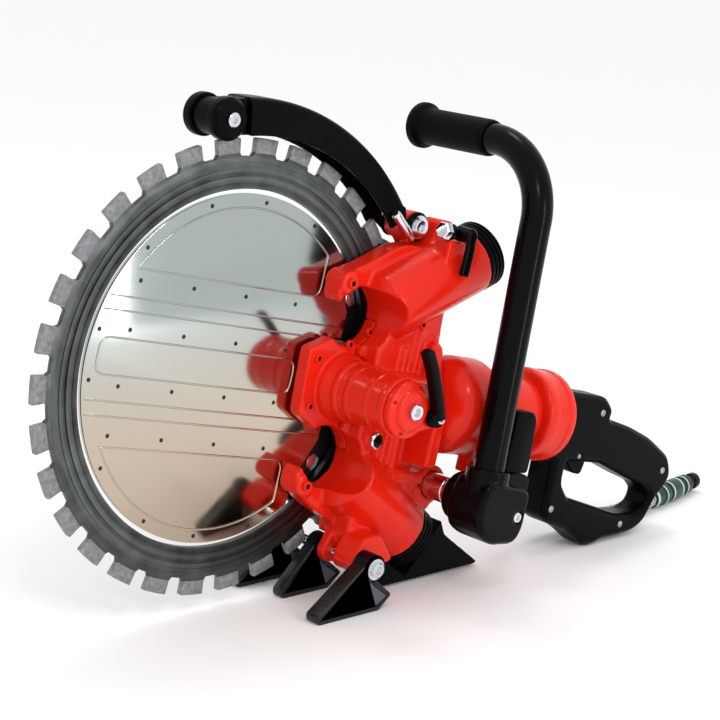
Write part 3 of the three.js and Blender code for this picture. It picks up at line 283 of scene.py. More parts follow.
PAINT = material("red_enamel", (228, 36, 14), (214, 26, 9), rough=0.24, grain=(260, 0.03),
                 mottle=14, coat=0.14, specular=0.18)
GLOSS_BLACK = material("gloss_black", (3, 3, 5), (5, 5, 7), rough=0.2, grain=(320, 0.03),
                       specular=0.09)
RUBBER = material("grip_rubber", (4, 4, 5), (7, 7, 8), rough=0.5, grain=(1500, 0.3),
                  specular=0.05)
PLASTIC = material("black_plastic", (3, 3, 4), (6, 6, 7), rough=0.32, grain=(900, 0.12),
                   specular=0.05)
CARRIER = material("carrier_black", (9, 9, 10), (16, 16, 17), rough=0.4, grain=(420, 0.2),
                   specular=0.25)
BLADE = material("blade_steel", (108, 113, 112), (34, 37, 36), rough=0.34, metal=0.95,
                 grain=(900, 0.12), mottle=60, pattern=concentric)
SEGMENT = material("diamond_segment", (150, 152, 154), (112, 114, 116), rough=0.5,
                   metal=0.6, grain=(1600, 0.4), mottle=260)
# The disc's two colours are painted reflection: beige low down, grey-green higher up.
DISC = material("polished_disc_painted_reflection", (196, 182, 164), (172, 180, 178), rough=0.1,
                rough_spread=0.02, metal=1.0, grain=(30, 0.02), pattern=painted_reflection_grade)
RIVET = material("dark_rivet", (60, 58, 58), (40, 38, 40), rough=0.35, metal=0.8)
STEEL = material("machined_steel", (176, 178, 180), (140, 142, 145), rough=0.3, metal=0.95,
                 grain=(700, 0.1))
CHROME = material("bright_plating", (228, 230, 234), (205, 208, 214), rough=0.09,
                  rough_spread=0.03, metal=1.0, grain=(200, 0.03))
DARK = material("recess_shadow", (8, 8, 9), rough=0.7, specular=0.1)
FOOT = material("foot_grey", (92, 91, 104), (70, 70, 84), rough=0.5, grain=(600, 0.3),
                specular=0.3)
FOOT_EDGE = material("foot_black", (10, 10, 14), (20, 20, 26), rough=0.3, grain=(500, 0.12),
                     specular=0.35)
WORN = material("worn_edge", (170, 172, 178), (120, 122, 128), rough=0.4, metal=0.7,
                grain=(900, 0.3))
LABEL = material("label_green", (150, 200, 150), (130, 184, 134), rough=0.42,
                 grain=(900, 0.05))
LABEL_DARK = material("label_black", (16, 20, 18), rough=0.4, specular=0.2)
BRAID = material("hose_braid", (190, 200, 192), (44, 62, 54), rough=0.38, metal=0.6,
                 grain=(900, 0.8), pattern=woven)
GREEN = material("coupling_green", (30, 62, 48), (20, 44, 34), rough=0.34, metal=0.2,
                 grain=(600, 0.1), specular=0.3)
PALE = material("coupling_ring", (200, 214, 204), (170, 186, 176), rough=0.35, grain=(500, 0.05))
BROWN = material("tab_brown", (90, 50, 32), (64, 34, 22), rough=0.45, grain=(500, 0.2))

# ---- Shape helpers: each gives a bmesh in the saw frame ----

def polar(radius, degrees):
    return radius * math.cos(math.radians(degrees)), radius * math.sin(math.radians(degrees))


def floor_at(x):
    return SOLE_Z + (x - SOLE_X) * math.tan(PITCH)


def rounded(points, radius, steps=5, closed=True):
    """The same outline with each corner swung round a curve that starts and ends a radius away from it."""
    made = []
    count = len(points)
    for i, point in enumerate(points):
        corner = Vector(point)
        if not closed and i in (0, count - 1):
            made.append(tuple(corner))
            continue
        before, after = Vector(points[i - 1]), Vector(points[(i + 1) % count])
        reach = min(radius, (before - corner).length / 2.2, (after - corner).length / 2.2)
        start = corner + (before - corner).normalized() * reach
        end = corner + (after - corner).normalized() * reach
        for step in range(steps + 1):
            t = step / steps
            made.append(tuple(start * (1 - t) ** 2 + corner * 2 * t * (1 - t) + end * t * t))
    return made


def skin(loops, closed=False, ends=True, round_way=True):
    """A surface through loops of points that all have the same count."""
    bm = bmesh.new()
    rows = [[bm.verts.new(point) for point in loop] for loop in loops]
    pairs = list(zip(rows, rows[1:]))
    if closed:
        pairs.append((rows[-1], rows[0]))
    count = len(rows[0])
    for one, two in pairs:
        for i in range(count if round_way else count - 1):
            j = (i + 1) % count
            bm.faces.new((one[i], one[j], two[j], two[i]))
    if ends and not closed:
        bm.faces.new(rows[0])
        bm.faces.new(rows[-1])
    bmesh.ops.recalc_face_normals(bm, faces=bm.faces)
    return bm


def inset(points, distance):
    """The outline moved inwards by a distance."""
    area = sum(a[0] * b[1] - b[0] * a[1] for a, b in zip(points, points[1:] + points[:1]))
    side = 1 if area > 0 else -1
    made = []
    for i, (x, z) in enumerate(points):
        before, after = Vector(points[i - 1]), Vector(points[(i + 1) % len(points)])
        along = (after - before).normalized()
        made.append((x - side * along.y * distance, z + side * along.x * distance))
    return made


def prism(points, y0, y1, bevel=0.0, steps=3):
    """An outline drawn in X and Z, from one Y to another, with rounded edges."""
    if bevel <= 0:
        return skin([[(x, y, z) for x, z in points] for y in (y0, y1)])
    loops = []
    for step in range(steps + 1):
        angle = math.pi / 2 * step / steps
        ring = inset(points, bevel * (1 - math.sin(angle)))
        loops.append([(x, y0 + bevel * (1 - math.cos(angle)), z) for x, z in ring])
    for step in range(steps + 1):
        angle = math.pi / 2 * step / steps
        ring = inset(points, bevel * (1 - math.cos(angle)))
        loops.append([(x, y1 - bevel * (1 - math.sin(angle)), z) for x, z in ring])
    return skin(loops)


def box_between(low, high, bevel=0.0):
    (x0, y0, z0), (x1, y1, z1) = low, high
    return prism([(x0, z0), (x1, z0), (x1, z1), (x0, z1)], y0, y1, bevel)


def basis(along):
    along = Vector(along).normalized()
    return Vector((0, 0, 1)).rotation_difference(along).to_matrix()


def lathe(profile, at=(0, 0, 0), along=(0, 1, 0), sides=96, bore=0.0):
    """A round solid from pairs (distance along the axis, radius); a third value of 6 makes a hexagon."""
    turn = basis(along)
    loops = []
    inside = [(profile[-1][0], bore), (profile[0][0], bore)] if bore else []
    for distance, radius, *corners in profile + inside:
        loop = []
        for i in range(sides):
            angle = 360 * i / sides
            reach = radius
            if corners:
                step = 360 / corners[0]
                reach = radius / math.cos(math.radians((angle + step / 2) % step - step / 2))
            x, y = polar(reach, angle)
            loop.append(tuple(Vector(at) + turn @ Vector((x, y, distance))))
        loops.append(loop)
    return skin(loops, closed=bore > 0)


def soft(profile, radius=0.8, steps=3):
    """A lathe profile with its corners rounded."""
    return rounded(profile, radius, steps, closed=False)


def cross(radius, x, z, y0, y1, sides=96):
    return lathe([(y0, radius), (y1, radius)], (x, 0, z), (0, 1, 0), sides)


def tube(points, radius, sides=24):
    """A round bar along points; radius may be a list with one value for each of them."""
    points = [Vector(point) for point in points]
    radii = radius if isinstance(radius, list) else [radius] * len(points)
    side = None
    loops = []
    for i, point in enumerate(points):
        along = (points[min(i + 1, len(points) - 1)] - points[max(i - 1, 0)]).normalized()
        if side is None:
            side = along.orthogonal().normalized()
        side = (side - along * side.dot(along)).normalized()
        other = along.cross(side)
        loops.append([])
        for k in range(sides):
            a, b = polar(radii[i], 360 * k / sides)
            loops[-1].append(tuple(point + side * a + other * b))
    return skin(loops)


def curve_through(points, steps=10):
    """Points of a smooth curve through the given ones."""
    points = [Vector(point) for point in points]
    padded = [2 * points[0] - points[1], *points, 2 * points[-1] - points[-2]]
    made = []
    for p0, p1, p2, p3 in zip(padded, padded[1:], padded[2:], padded[3:]):
        for step in range(steps):
            t = step / steps
            made.append(0.5 * (2 * p1 + (p2 - p0) * t + (2 * p0 - 5 * p1 + 4 * p2 - p3) * t * t
                               + (3 * p1 - p0 - 3 * p2 + p3) * t ** 3))
    return made + [points[-1]]


def merged(*parts):
    """Several bmeshes as one."""
    whole = bmesh.new()
    for part in parts:
        mesh = bpy.data.meshes.new("part")
        part.to_mesh(mesh)
        part.free()
        whole.from_mesh(mesh)
        bpy.data.meshes.remove(mesh)
    return whole


def scratch(bm):
    mesh = bpy.data.meshes.new("scratch")
    bm.to_mesh(mesh)
    bm.free()
    return add_object("scratch", mesh)


def shaped(bm, add=(), cut=(), voxel=0.0, smooth=0):
    """The solid with others joined to it and cut from it, then its edges melted into fillets."""
    base = scratch(bm)
    tools = []
    for operation, parts in (("UNION", add), ("DIFFERENCE", cut)):
        for part in parts:
            tool = scratch(part)
            tools.append(tool)
            modifier = base.modifiers.new("join", "BOOLEAN")
            modifier.operation = operation
            modifier.solver = "MANIFOLD"
            modifier.object = tool
    if voxel:
        remesh = base.modifiers.new("remesh", "REMESH")
        remesh.mode = "VOXEL"
        remesh.voxel_size = voxel
    if smooth:
        melt = base.modifiers.new("melt", "SMOOTH")
        melt.factor = 0.5
        melt.iterations = smooth
    mesh = bpy.data.meshes.new_from_object(base.evaluated_get(bpy.context.evaluated_depsgraph_get()))
    for thing in (base, *tools):
        data = thing.data
        bpy.data.objects.remove(thing)
        bpy.data.meshes.remove(data)
    made = bmesh.new()
    made.from_mesh(mesh)
    bpy.data.meshes.remove(mesh)
    return made


def cad(node):
    """A CAD node's own shape, in the saw frame."""
    bm = bmesh.new()
    bm.from_mesh(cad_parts[node].data)
    bmesh.ops.remove_doubles(bm, verts=bm.verts, dist=1e-6)
    bm.transform(SAW.inverted())
    return bm


def piece(name, bm, look, body, *stands_for, crease=35, place=SAW):
    """Makes a bmesh into a visible piece that rides on a body and stands for CAD nodes."""
    mesh = bpy.data.meshes.new(name)
    bm.to_mesh(mesh)
    bm.free()
    mesh.transform(place)
    mesh.shade_smooth()
    mesh.set_sharp_from_angle(angle=math.radians(crease))
    mesh.materials.append(look)
    thing = add_object(name, mesh)
    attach(thing, body)
    if stands_for:
        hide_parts(*stands_for)
    return thing


def moulded(name, node, look, voxel, smooth, body="saw", crease=CAST):
    """A CAD node's own shape with its edges melted into fillets."""
    return piece(name, shaped(cad(node), voxel=voxel, smooth=smooth), look, body, node, crease=crease)


def dress(node, look):
    """A CAD node that keeps its own shape gets a better material."""
    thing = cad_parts[node]
    thing.data.materials.clear()
    thing.data.materials.append(look)


def socket_screw(at, along, radius, height, key=0.5):
    """A cap screw whose head has a hexagonal socket. along points out of the head."""
    edge = radius * 0.12
    profile = [(-0.6, radius), (height - edge, radius), (height, radius - edge)]
    profile += [(height, radius * key + 0.3, 6), (height - 0.3, radius * key, 6)]
    profile.append((height * 0.3, radius * key, 6))
    return lathe(profile, at, along, 48)


def hex_bolt(at, along, radius, height):
    profile = [(-0.4, radius, 6), (height * 0.85, radius, 6), (height, radius * 0.86)]
    return lathe(profile, at, along, 48)


def dome(at, along, radius, height, sides=16):
    profile = []
    for step in range(5):
        reach, rise = polar(1, 90 * step / 5)
        profile.append((rise * height, reach * radius))
    return lathe([(-0.3, radius), *profile], at, along, sides)

# ---- Air hose and its coupling: X from the ring's centre, Z up from the floor ----

HOSE_ROUTE = [
    (306, -16, 76.2), (316, -16.2, 65.8), (326.5, -16.6, 55.2), (338, -17, 44.6), (350.5, -17.5, 34.4),
    (365, -18, 24.8), (381, -18.8, 16.9), (398.5, -19.5, 11.2), (417, -20.5, 8.3), (436, -21, 7.7),
    (455, -21.3, 7.7), (474, -21.2, 7.7), (490, -20.6, 8.2), (504, -18.8, 9.2), (518, -16.3, 10.3),
]
COUPLING_ALONG = (16, 3.2, 0)


def along_tube_uv(bm, sides):
    """UV across and along a tube whose points were made row by row."""
    layer = bm.loops.layers.uv.new("UVMap")
    bm.verts.index_update()
    rows = len(bm.verts) // sides
    for face in bm.faces:
        columns = [loop.vert.index % sides for loop in face.loops]
        wraps = 0 in columns and sides - 1 in columns
        for loop, column in zip(face.loops, columns):
            across = 1.0 if wraps and column == 0 else column / sides
            loop[layer].uv = (across, loop.vert.index // sides / (rows - 1))


def build_hose():
    path = curve_through(HOSE_ROUTE, 8)
    sides = 32
    bm = tube(path, HOSE_RADIUS, sides)
    along_tube_uv(bm, sides)
    hose = piece("braided_hose", bm, BRAID, "saw", "air_hose", place=FLOOR)
    ferrule = [(0.6, 9), (18, 9), (18.5, COUPLING_RADIUS), (28, COUPLING_RADIUS)]
    ferrule += [(29, 8.5), (32, 8.5), (32.5, COUPLING_RADIUS), (56, COUPLING_RADIUS), (57, 8), (61, 8)]
    ferrule += [(62, COUPLING_RADIUS - 0.5), (74, COUPLING_RADIUS - 0.5)]
    end = HOSE_ROUTE[-1]
    body = lathe(soft(ferrule, 0.9), end, COUPLING_ALONG)
    coupling = piece("hose_coupling", body, GREEN, "saw", "coupling_body", place=FLOOR)
    bands = []
    places = ((2, 4, 9.25), (19.5, 2.2, 10.1), (34, 2.5, 10.1), (52, 2.5, 10.1), (64, 2, 9.7))
    for start, width, radius in places:
        bands.append(lathe(soft([(start, radius - 1), (start, radius), (start + width, radius),
                                 (start + width, radius - 1)], 0.3), end, COUPLING_ALONG))
    rings = piece("coupling_rings", merged(*bands), PALE, "saw", place=FLOOR)
    tip = [(74.3, 6.5), (84, 6.5), (85, 8), (93, 8), (95, 6.5)]
    plug = piece("coupling_tip", lathe(soft(tip, 0.6), end, COUPLING_ALONG), GLOSS_BLACK, "saw",
                 "coupling_plug", place=FLOOR)

# ---- Ring blade and centre disc ----

def circle(radius, sides=180):
    return [polar(radius, 360 * i / sides) for i in range(sides)]


def arc(radius, start, end, steps):
    return [polar(radius, start + (end - start) * i / steps) for i in range(steps + 1)]


def ring_band(inner, outer, y0, y1):
    return lathe([(y0, outer), (y1, outer)], sides=180, bore=inner)


def build_ring():
    spacing = 360 / SEGMENTS
    rim, gullet = RING_RADIUS - SEGMENT_HEIGHT, RING_RADIUS - GULLET_DEPTH
    outline = []
    segments = []
    for i in range(SEGMENTS):
        middle = SEGMENT_PHASE + i * spacing
        start, end = middle - SEGMENT_ARC / 2, middle + SEGMENT_ARC / 2
        outline += arc(rim + 0.6, start, end, 3)
        outline += arc(gullet, end + 0.7, end + spacing - SEGMENT_ARC - 0.7, 3)
        tooth = arc(rim, start, end, 4) + arc(RING_RADIUS, end, start, 4)
        segments.append(prism(rounded(tooth, 0.8, 2), -SEGMENT_THICK / 2, SEGMENT_THICK / 2, 0.5, 2))
    half = RING_THICK / 2
    grooves = [cross(RING_INNER, 0, 0, -half - 1, half + 1, 180)]
    turned = ((GROOVE_WIDTH, GROOVE_RADIUS, GROOVE_DEPTH), (1.6, 153.6, 0.5), (1.0, 142.0, 0.35))
    for width, radius, depth in turned:
        for side in (-1, 1):
            near, far = side * (half - depth), side * (half + 1)
            grooves.append(ring_band(radius - width / 2, radius + width / 2, min(near, far), max(near, far)))
    core = shaped(prism(outline, -half, half, 0.35, 2), cut=grooves)
    piece("ring_core", core, BLADE, "blade", "ring_blade", crease=25)
    piece("ring_segments", merged(*segments), SEGMENT, "blade", crease=40)


def disc_lines():
    """The pressed panels: two half-moons, a long slot between them and pairs of straight ribs."""
    edge = 123.5
    loops = []
    chord, flank = 65.3, 75.0
    start = math.degrees(math.acos(flank / edge))
    end = 180 - math.degrees(math.asin(chord / edge))
    moon = arc(edge, start, end, 40) + [(flank, chord)]
    slot_left, slot_right, slot_low, slot_high = -124.0, 65.0, -13.0, 14.25
    slot = [(slot_left, slot_low), (slot_right, slot_low), (slot_right, slot_high), (slot_left, slot_high)]
    for shape, radius in ((moon, 9), ([(x, -z) for x, z in moon], 9), (slot, 9)):
        loops.append((rounded(shape, radius, 6), True))
    for height in (44.25, 34.0, -32.0, -43.0):
        reach = math.sqrt((DISC_RADIUS - 2.5) ** 2 - height ** 2)
        loops.append(([(-reach, height), (103.0, height)], False))
    return loops


def bead(points, closed, y, radius=0.75):
    """A rounded rib, half sunk in the disc's face."""
    if not closed:
        return tube([(x, y, z) for x, z in points], radius, 10)
    rows = []
    for i, (x, z) in enumerate(points):
        before, after = Vector(points[i - 1]), Vector(points[(i + 1) % len(points)])
        along = (after - before).normalized()
        rows.append([])
        for k in range(10):
            a, b = polar(radius, 36 * k)
            rows[-1].append((x - along.y * a, y + b, z + along.x * a))
    return skin(rows, closed=True)


def disc_rivets():
    spots = []
    columns = (-100, -50, 1, 52)
    for row in (57, 21, -20.5, -57):
        spots += [(x, row) for x in columns]
    spots += [(-100, 81), (-100, -81), (-127, 19), (-127, -18), (71, -1)]
    for side in (-1, 1):
        spots += [(-50, side * 118.5), (1, side * 128.5), (54, side * 118.5), (81, side * 83)]
    return spots


def build_disc():
    reach, corner = RING_RADIUS, DISC_RADIUS * 0.62
    cover = [(corner, reach), (93, 82), (108, 57), (108, -46), (90, -80), (corner, -reach)]
    cover += [(reach, -reach), (reach, reach)]
    half = DISC_THICK / 2
    wheel = cross(WHEEL_RADIUS + WHEEL_FLANGE + 1.5, DRIVE_X, 0, -half - 2, half + 2)
    cuts = [prism(cover, -half - 2, half + 2), wheel]
    sheet = shaped(prism(circle(DISC_RADIUS), -half, half, 0.5, 2), cut=cuts)
    piece("disc_sheet", sheet, DISC, "saw", "centre_disc", crease=25)
    beads = [bead(points, closed, side * half) for points, closed in disc_lines() for side in (-1, 1)]
    piece("disc_ribs", merged(*beads), DISC, "saw", crease=CAST)
    rivets = [dome((x, side * half, z), (0, side, 0), 1.7, 0.7) for x, z in disc_rivets() for side in (-1, 1)]
    piece("disc_rivets", merged(*rivets), RIVET, "saw", crease=CAST)

# ---- Castings ----

def on_roller_axis(profile, side, degrees, sides=96, bore=0.0):
    x, z = polar(1, degrees)
    return lathe(profile, (0, side * ROLLER_Y, 0), (x, 0, z), sides, bore)


def on_motor_axis(profile, sides=128, bore=0.0):
    return lathe(profile, (0, MOTOR_Y, 0), (1, 0, 0), sides, bore)


def gear_body(grow=0.0):
    half, front, side = 29 + grow, 64 - grow, 130 + grow
    corners = [(front, half - 3), (front + 5, half), (126, 56 + grow), (side, 52), (side, -46)]
    corners += [(124, -52 - grow), (92, -38 - grow), (front + 3, -25 - grow)]
    boss = [(BOSS_END - grow, BOSS_RADIUS + grow), (-32, BOSS_RADIUS + 1 + grow), (-22, COLLAR_RADIUS + grow)]
    boss.append((NEAR_FACE, COLLAR_RADIUS + grow))
    return prism(rounded(corners, 4), -17 - grow, NEAR_FACE), lathe(boss, (DRIVE_X, 0, 0))


def windows():
    return [cross(OPENING_RADIUS, OPENING_X, side * OPENING_Z, -70, 0) for side in (-1, 1)]


LOWER_OUTLINE = [
    (122, -54), (202, -59), (216, -66), (217, -76), (207, -92), (184, -119), (160, -133), (137, -132),
    (124, -116),
]


def foot_lug(y0, y1):
    x, z, radius = FOOT_X, FOOT_Z, FOOT_RADIUS
    web = [(x - radius + 1, z), (x + 4, z - radius + 1), (x + 34, z + 4), (x + 14, z + 24), (x - 2, z + 20)]
    return [cross(radius - 1.5, x, z, y0, y1), prism(rounded(web, 3), y0, y1)]


def guard_lug():
    x, z = PIVOT_X, PIVOT_Z
    half = GUARD_HALF - GUARD_WALL - GAP
    web = [(x - 11, z + 2), (x - 9, z - 9), (x + 1, z - 20)]
    web += [(x + 26, z - 26), (x + 25, z - 6), (x + 6, z + 10)]
    return [cross(PIVOT_RADIUS, x, z, -half, half), prism(web, -half, -NEAR_FACE - GAP)]


def build_main_frame():
    upper = [(74, 70), (74, 84), (84, 92), (97, 98), (124, 114), (137, 119), (150, 119), (166, 130)]
    upper += [(166, 144), (184, 144), (184, 110), (180, 76), (184, 40), (184, -44), (182, -66)]
    lower = [(186, -96), (160, -118), (138, -116), (123, -108), (97, -97), (84, -89), (73, -82), (73, -70)]
    plate = prism(rounded(upper + lower + [(112, -38), (112, 38)], 5), NEAR_FACE - 18, NEAR_FACE)
    column = [(116, 62), (150, 84), (180, 84), (184, 40), (184, -44), (182, -70), (150, -84), (116, -56)]
    flange = rounded([(-21, -50), (43, -50), (43, 47), (0, 47), (-4, 30), (-21, -10)], 6, 6)
    flange_loops = [[(x, MOTOR_Y + y, z) for y, z in flange] for x in (FLANGE_X, FLANGE_X + FLANGE_THICK)]
    housing = [(131, 19), (138, HOUSING_RADIUS)]
    pad_top = CLAMP_Z - CLAMP_RADIUS - GAP
    parts = [
        cross(9.5, 83, 82, -26, NEAR_FACE),
        cross(9.5, 83, -79, -26, NEAR_FACE),
        prism(rounded(column, 6), NEAR_FACE - 32, NEAR_FACE),
        on_roller_axis(housing + [(UPPER_END, HOUSING_RADIUS)], 1, ROLLER_ANGLE),
        on_roller_axis(housing + [(LOWER_END, HOUSING_RADIUS)], 1, -ROLLER_ANGLE),
        skin(flange_loops),
        on_motor_axis([(DRIVE_X + 22, THROAT_RADIUS), (FLANGE_X + 1, THROAT_RADIUS)]),
        prism(rounded(LOWER_OUTLINE, 7), LOWER_NEAR, NEAR_FACE, 3),
        cross(SHAFT_RADIUS + 5, SHAFT_X, SHAFT_Z, LOWER_NEAR - 2, -9),
        box_between((CLAMP_X, CLAMP_Y - 5, pad_top - 30), (CLAMP_X + 20, CLAMP_Y + 12, pad_top)),
    ]
    for x, low, high in ((145, -58, 40), (158, -66, 56), (176, -50, 52)):
        parts.append(box_between((x - 2.6, -41, low), (x + 2.6, -36, high)))
    region = arc(GUARD_RADIUS - GUARD_DEPTH - 2, 44, 100, 28)
    region += [polar(236, 100), polar(236, 72), polar(236, 44)]
    mid_gap = -16.5 - GAP
    under_foot = [(FOOT_X + 4, -119), (FOOT_X + 36, -119), (170, -160), (90, -160)]
    first_cuts = [
        box_between((0, NEAR_FACE, -260), (320, 60, 260)),
        prism(region, -70, -GUARD_HALF + GUARD_WALL),
        cross(FOOT_RADIUS + 1, FOOT_X, FOOT_Z, mid_gap, 0),
        prism(under_foot, mid_gap, 0),
    ]
    body = shaped(plate, parts, first_cuts)
    bores = [on_roller_axis([(142.7, HOUSING_BORE), (end + 1, HOUSING_BORE)], 1, angle)
             for angle, end in ((ROLLER_ANGLE, UPPER_END), (-ROLLER_ANGLE, LOWER_END))]
    plate_hole, boss_hole = gear_body(GAP)
    second_cuts = bores + windows() + [
        on_motor_axis([(BELL_X - GAP, BELL_RADIUS + 1.4), (BELL_X + 80, BELL_RADIUS + 1.4)]),
        on_roller_axis([(end, HOUSING_RADIUS + 1) for end in (LOWER_END, LOWER_END + 60)], 1, -ROLLER_ANGLE),
        cross(PIVOT_RADIUS + 2.5, PIVOT_X, PIVOT_Z, -25, -GUARD_HALF + GUARD_WALL + 0.2),
        plate_hole,
        boss_hole,
        cross(SHAFT_RADIUS + GAP, SHAFT_X, SHAFT_Z, -70, -22),
        tube([(128, LOWER_NEAR - 0.6, -64), (206, LOWER_NEAR - 0.6, -70)], 1.6, 16),
    ]
    lugs = foot_lug(-60, LOWER_NEAR + 6) + foot_lug(-26, -17.1) + guard_lug()
    body = shaped(body, lugs, second_cuts, voxel=1.25, smooth=7)
    piece("frame_casting", body, PAINT, "saw", "main_frame", crease=CAST)
    # Each screw's socket gets a dark plug: painted shade in the recess.
    painted, sockets = [], []
    places = ((83, -26, 82, 4.2), (83, -26, -79, 4.2), (158, -37, 60, 3.4), (160, -37, -62, 3.4))
    for x, y, z, radius in places:
        painted.append(socket_screw((x, y, z), (0, -1, 0), radius, 2.4))
        sockets.append(cross(radius * 0.46, x, z, y - 1.6, y + 0.4, 24))
    piece("frame_screws", merged(*painted), PAINT, "saw", crease=HARD)
    piece("frame_socket_shade", merged(*sockets), DARK, "saw", crease=HARD)
    bolt = hex_bolt((134, -37.2, -36), (0, -1, 0), 6.0, 4.2)
    piece("frame_bolt", bolt, CHROME, "saw", crease=HARD)


def build_gear_housing():
    plate, boss = gear_body()
    rims = []
    for start, end, grow in ((0, 6, 1.4), (19, 21.5, 1.1), (40, 43, 1.6), (52, 56, 2.4)):
        rims.append(lathe([(BOSS_END + start, BOSS_RADIUS + grow), (BOSS_END + end, BOSS_RADIUS + grow),
                           (BOSS_END + end + 1.5, BOSS_RADIUS)], (DRIVE_X, 0, 0)))
    shell = shaped(plate, [boss, *rims], windows(), voxel=0.9, smooth=4)
    piece("gear_casting", shell, PAINT, "saw", "gear_housing", crease=CAST)
    y = BOSS_END - GAP
    end = [(y - BOSS_CAP, 17), (y + 1.6 - BOSS_CAP, BOSS_RADIUS), (y, BOSS_RADIUS)]
    raised = [(y - BOSS_CAP - 3, 14), (y - BOSS_CAP - 2, 16), (y - BOSS_CAP + 1, 16)]
    ear = [(DRIVE_X + 10, 13), (LEVER_X + 7, 6), (LEVER_X + 8, -10), (DRIVE_X + 10, -17)]
    bores = [cross(3.3, DRIVE_X, 0, y - 20, y + 1), cross(3.3, LEVER_X, LEVER_Z, y - 20, y + 1)]
    flange = shaped(lathe(end, (DRIVE_X, 0, 0)), [lathe(raised, (DRIVE_X, 0, 0)),
                    prism(rounded(ear, 7), y - BOSS_CAP, y)], bores, voxel=0.7, smooth=5)
    piece("boss_flange", flange, PAINT, "saw", "boss_cap", crease=CAST)
    # Each screw's socket gets a dark plug: painted shade in the recess.
    painted, sockets = [], []
    for x, z in ((104, 34), (74, 20), (76, -18), (122, 46)):
        painted.append(socket_screw((x, -17, z), (0, -1, 0), 3.6, 2.2))
        sockets.append(cross(1.6, x, z, -18.5, -17.2, 24))
    for angle in (75, 165, 255):
        x, z = polar(19.0, angle)
        painted.append(socket_screw((DRIVE_X + x, y - 6.2, z), (0, -1, 0), 2.0, 1.0))
        sockets.append(cross(0.9, DRIVE_X + x, z, y - 6.7, y - 6.2, 24))
    piece("gear_screws", merged(*painted), PAINT, "saw", crease=HARD)
    piece("gear_socket_shade", merged(*sockets), DARK, "saw", crease=HARD)
    face = y - BOSS_CAP - 3 - GAP
    piece("boss_bolt", socket_screw((DRIVE_X, face, 0), (0, -1, 0), 6.2, 4.0, 0.52), CHROME, "saw",
          "boss_screw", crease=HARD)
    tab = prism(rounded([(144, 7), (150, 7), (150, 17), (144, 17)], 2), -66, -52, 0.8)
    piece("lever_tab", tab, BROWN, "saw")


def build_far_side():
    moulded("far_carrier", "far_frame", CARRIER, 1.3, 8)
    bolts = [hex_bolt((115, 5.2, 68), (0, -1, 0), 6, 2.0), hex_bolt((113, 5.2, -66), (0, -1, 0), 6, 2.0)]
    for z in (-28, 28):
        bolts.append(hex_bolt((152, 12.8, z), (0, 1, 0), 6.5, 4.5))
    for angle in (-ROLLER_ANGLE, ROLLER_ANGLE):
        x, z = polar(FAR_END + 5.6, angle)
        ax, az = polar(1, angle)
        bolts.append(hex_bolt((x, -ROLLER_Y, z), (ax, 0, az), 9, 4.5))
    bolts.append(lathe(soft([(12.6, 14), (17, 14), (17, 9), (17.5, 8)], 0.8), (DRIVE_X + 4, 0, 0)))
    piece("carrier_bolts", merged(*bolts), CHROME, "saw", crease=HARD)


def build_rollers():
    ridge = GROOVE_WIDTH / 2 - 0.7
    hub, start, end = 22.0, GROOVE_RADIUS - 5, GROOVE_RADIUS + 5
    profile = [(start, hub), (GROOVE_RADIUS - ridge, hub), (GROOVE_RADIUS - ridge, ROLLER_RADIUS)]
    profile += [(GROOVE_RADIUS + ridge, ROLLER_RADIUS), (GROOVE_RADIUS + ridge, hub), (end, hub)]
    for side, where in ((1, "near"), (-1, "far")):
        for angle, level in ((ROLLER_ANGLE, "upper"), (-ROLLER_ANGLE, "lower")):
            bm = on_roller_axis(soft(profile, 0.3, 2), side, angle, 96, 6.4)
            name = f"{where}_{level}"
            piece(f"{name}_wheel", bm, STEEL, f"{name}_guide", f"{name}_roller")


def build_caps():
    for angle, end, level in ((ROLLER_ANGLE, UPPER_END, "upper"), (-ROLLER_ANGLE, LOWER_END, "lower")):
        start = end + GAP
        profile = [(end - 8, HOUSING_BORE - GAP), (start, HOUSING_BORE - GAP), (start, HOUSING_RADIUS)]
        for groove in (3.5, 7.5, 11.5):
            profile += [(start + groove, HOUSING_RADIUS), (start + groove + 0.4, HOUSING_RADIUS - 1.3)]
            profile += [(start + groove + 1.4, HOUSING_RADIUS - 1.3), (start + groove + 1.8, HOUSING_RADIUS)]
        profile += [(start + CAP_DEPTH - 7, HOUSING_RADIUS), (start + CAP_DEPTH, HOUSING_RADIUS - 8)]
        profile += [(start + CAP_DEPTH, 9), (start + CAP_DEPTH - 2.5, 8), (start + CAP_DEPTH - 2.5, 1)]
        bm = on_roller_axis(soft(profile, 0.9), 1, angle, 128)
        piece(f"{level}_cap", bm, PLASTIC, "saw", f"{level}_housing_cap")

# ---- Levers, nut and barrel ----

def build_levers():
    moulded("drive_lock_lever", "drive_lever", GLOSS_BLACK, 0.6, 6, "drive_lock")
    piece("drive_lock_screw", socket_screw((LEVER_X, LEVER_Y - 6, LEVER_Z), (0, -1, 0), 3.4, 1.6), CHROME,
          "drive_lock", crease=HARD)
    moulded("clamp_handle", "clamp_lever", GLOSS_BLACK, 0.6, 6, "housing_lock")
    at = (CLAMP_X, CLAMP_Y, CLAMP_Z)
    barrel = [(0, CLAMP_RADIUS - 1), (1, CLAMP_RADIUS), (4.5, CLAMP_RADIUS), (5.5, CLAMP_RADIUS - 1)]
    piece("clamp_sleeve", lathe(soft(barrel, 0.5), at, (1, 0, 0)), GLOSS_BLACK, "saw", "clamp_barrel")
    nut_at = (CLAMP_X - GAP, CLAMP_Y, CLAMP_Z)
    nut = [(-7, 5.4, 6), (-6, 6.4, 6), (-1, 6.4, 6), (0, 5.4, 6)]
    piece("clamp_hex_nut", lathe(nut, nut_at, (1, 0, 0)), CHROME, "saw", "clamp_nut", crease=HARD)

# ---- Motor ----

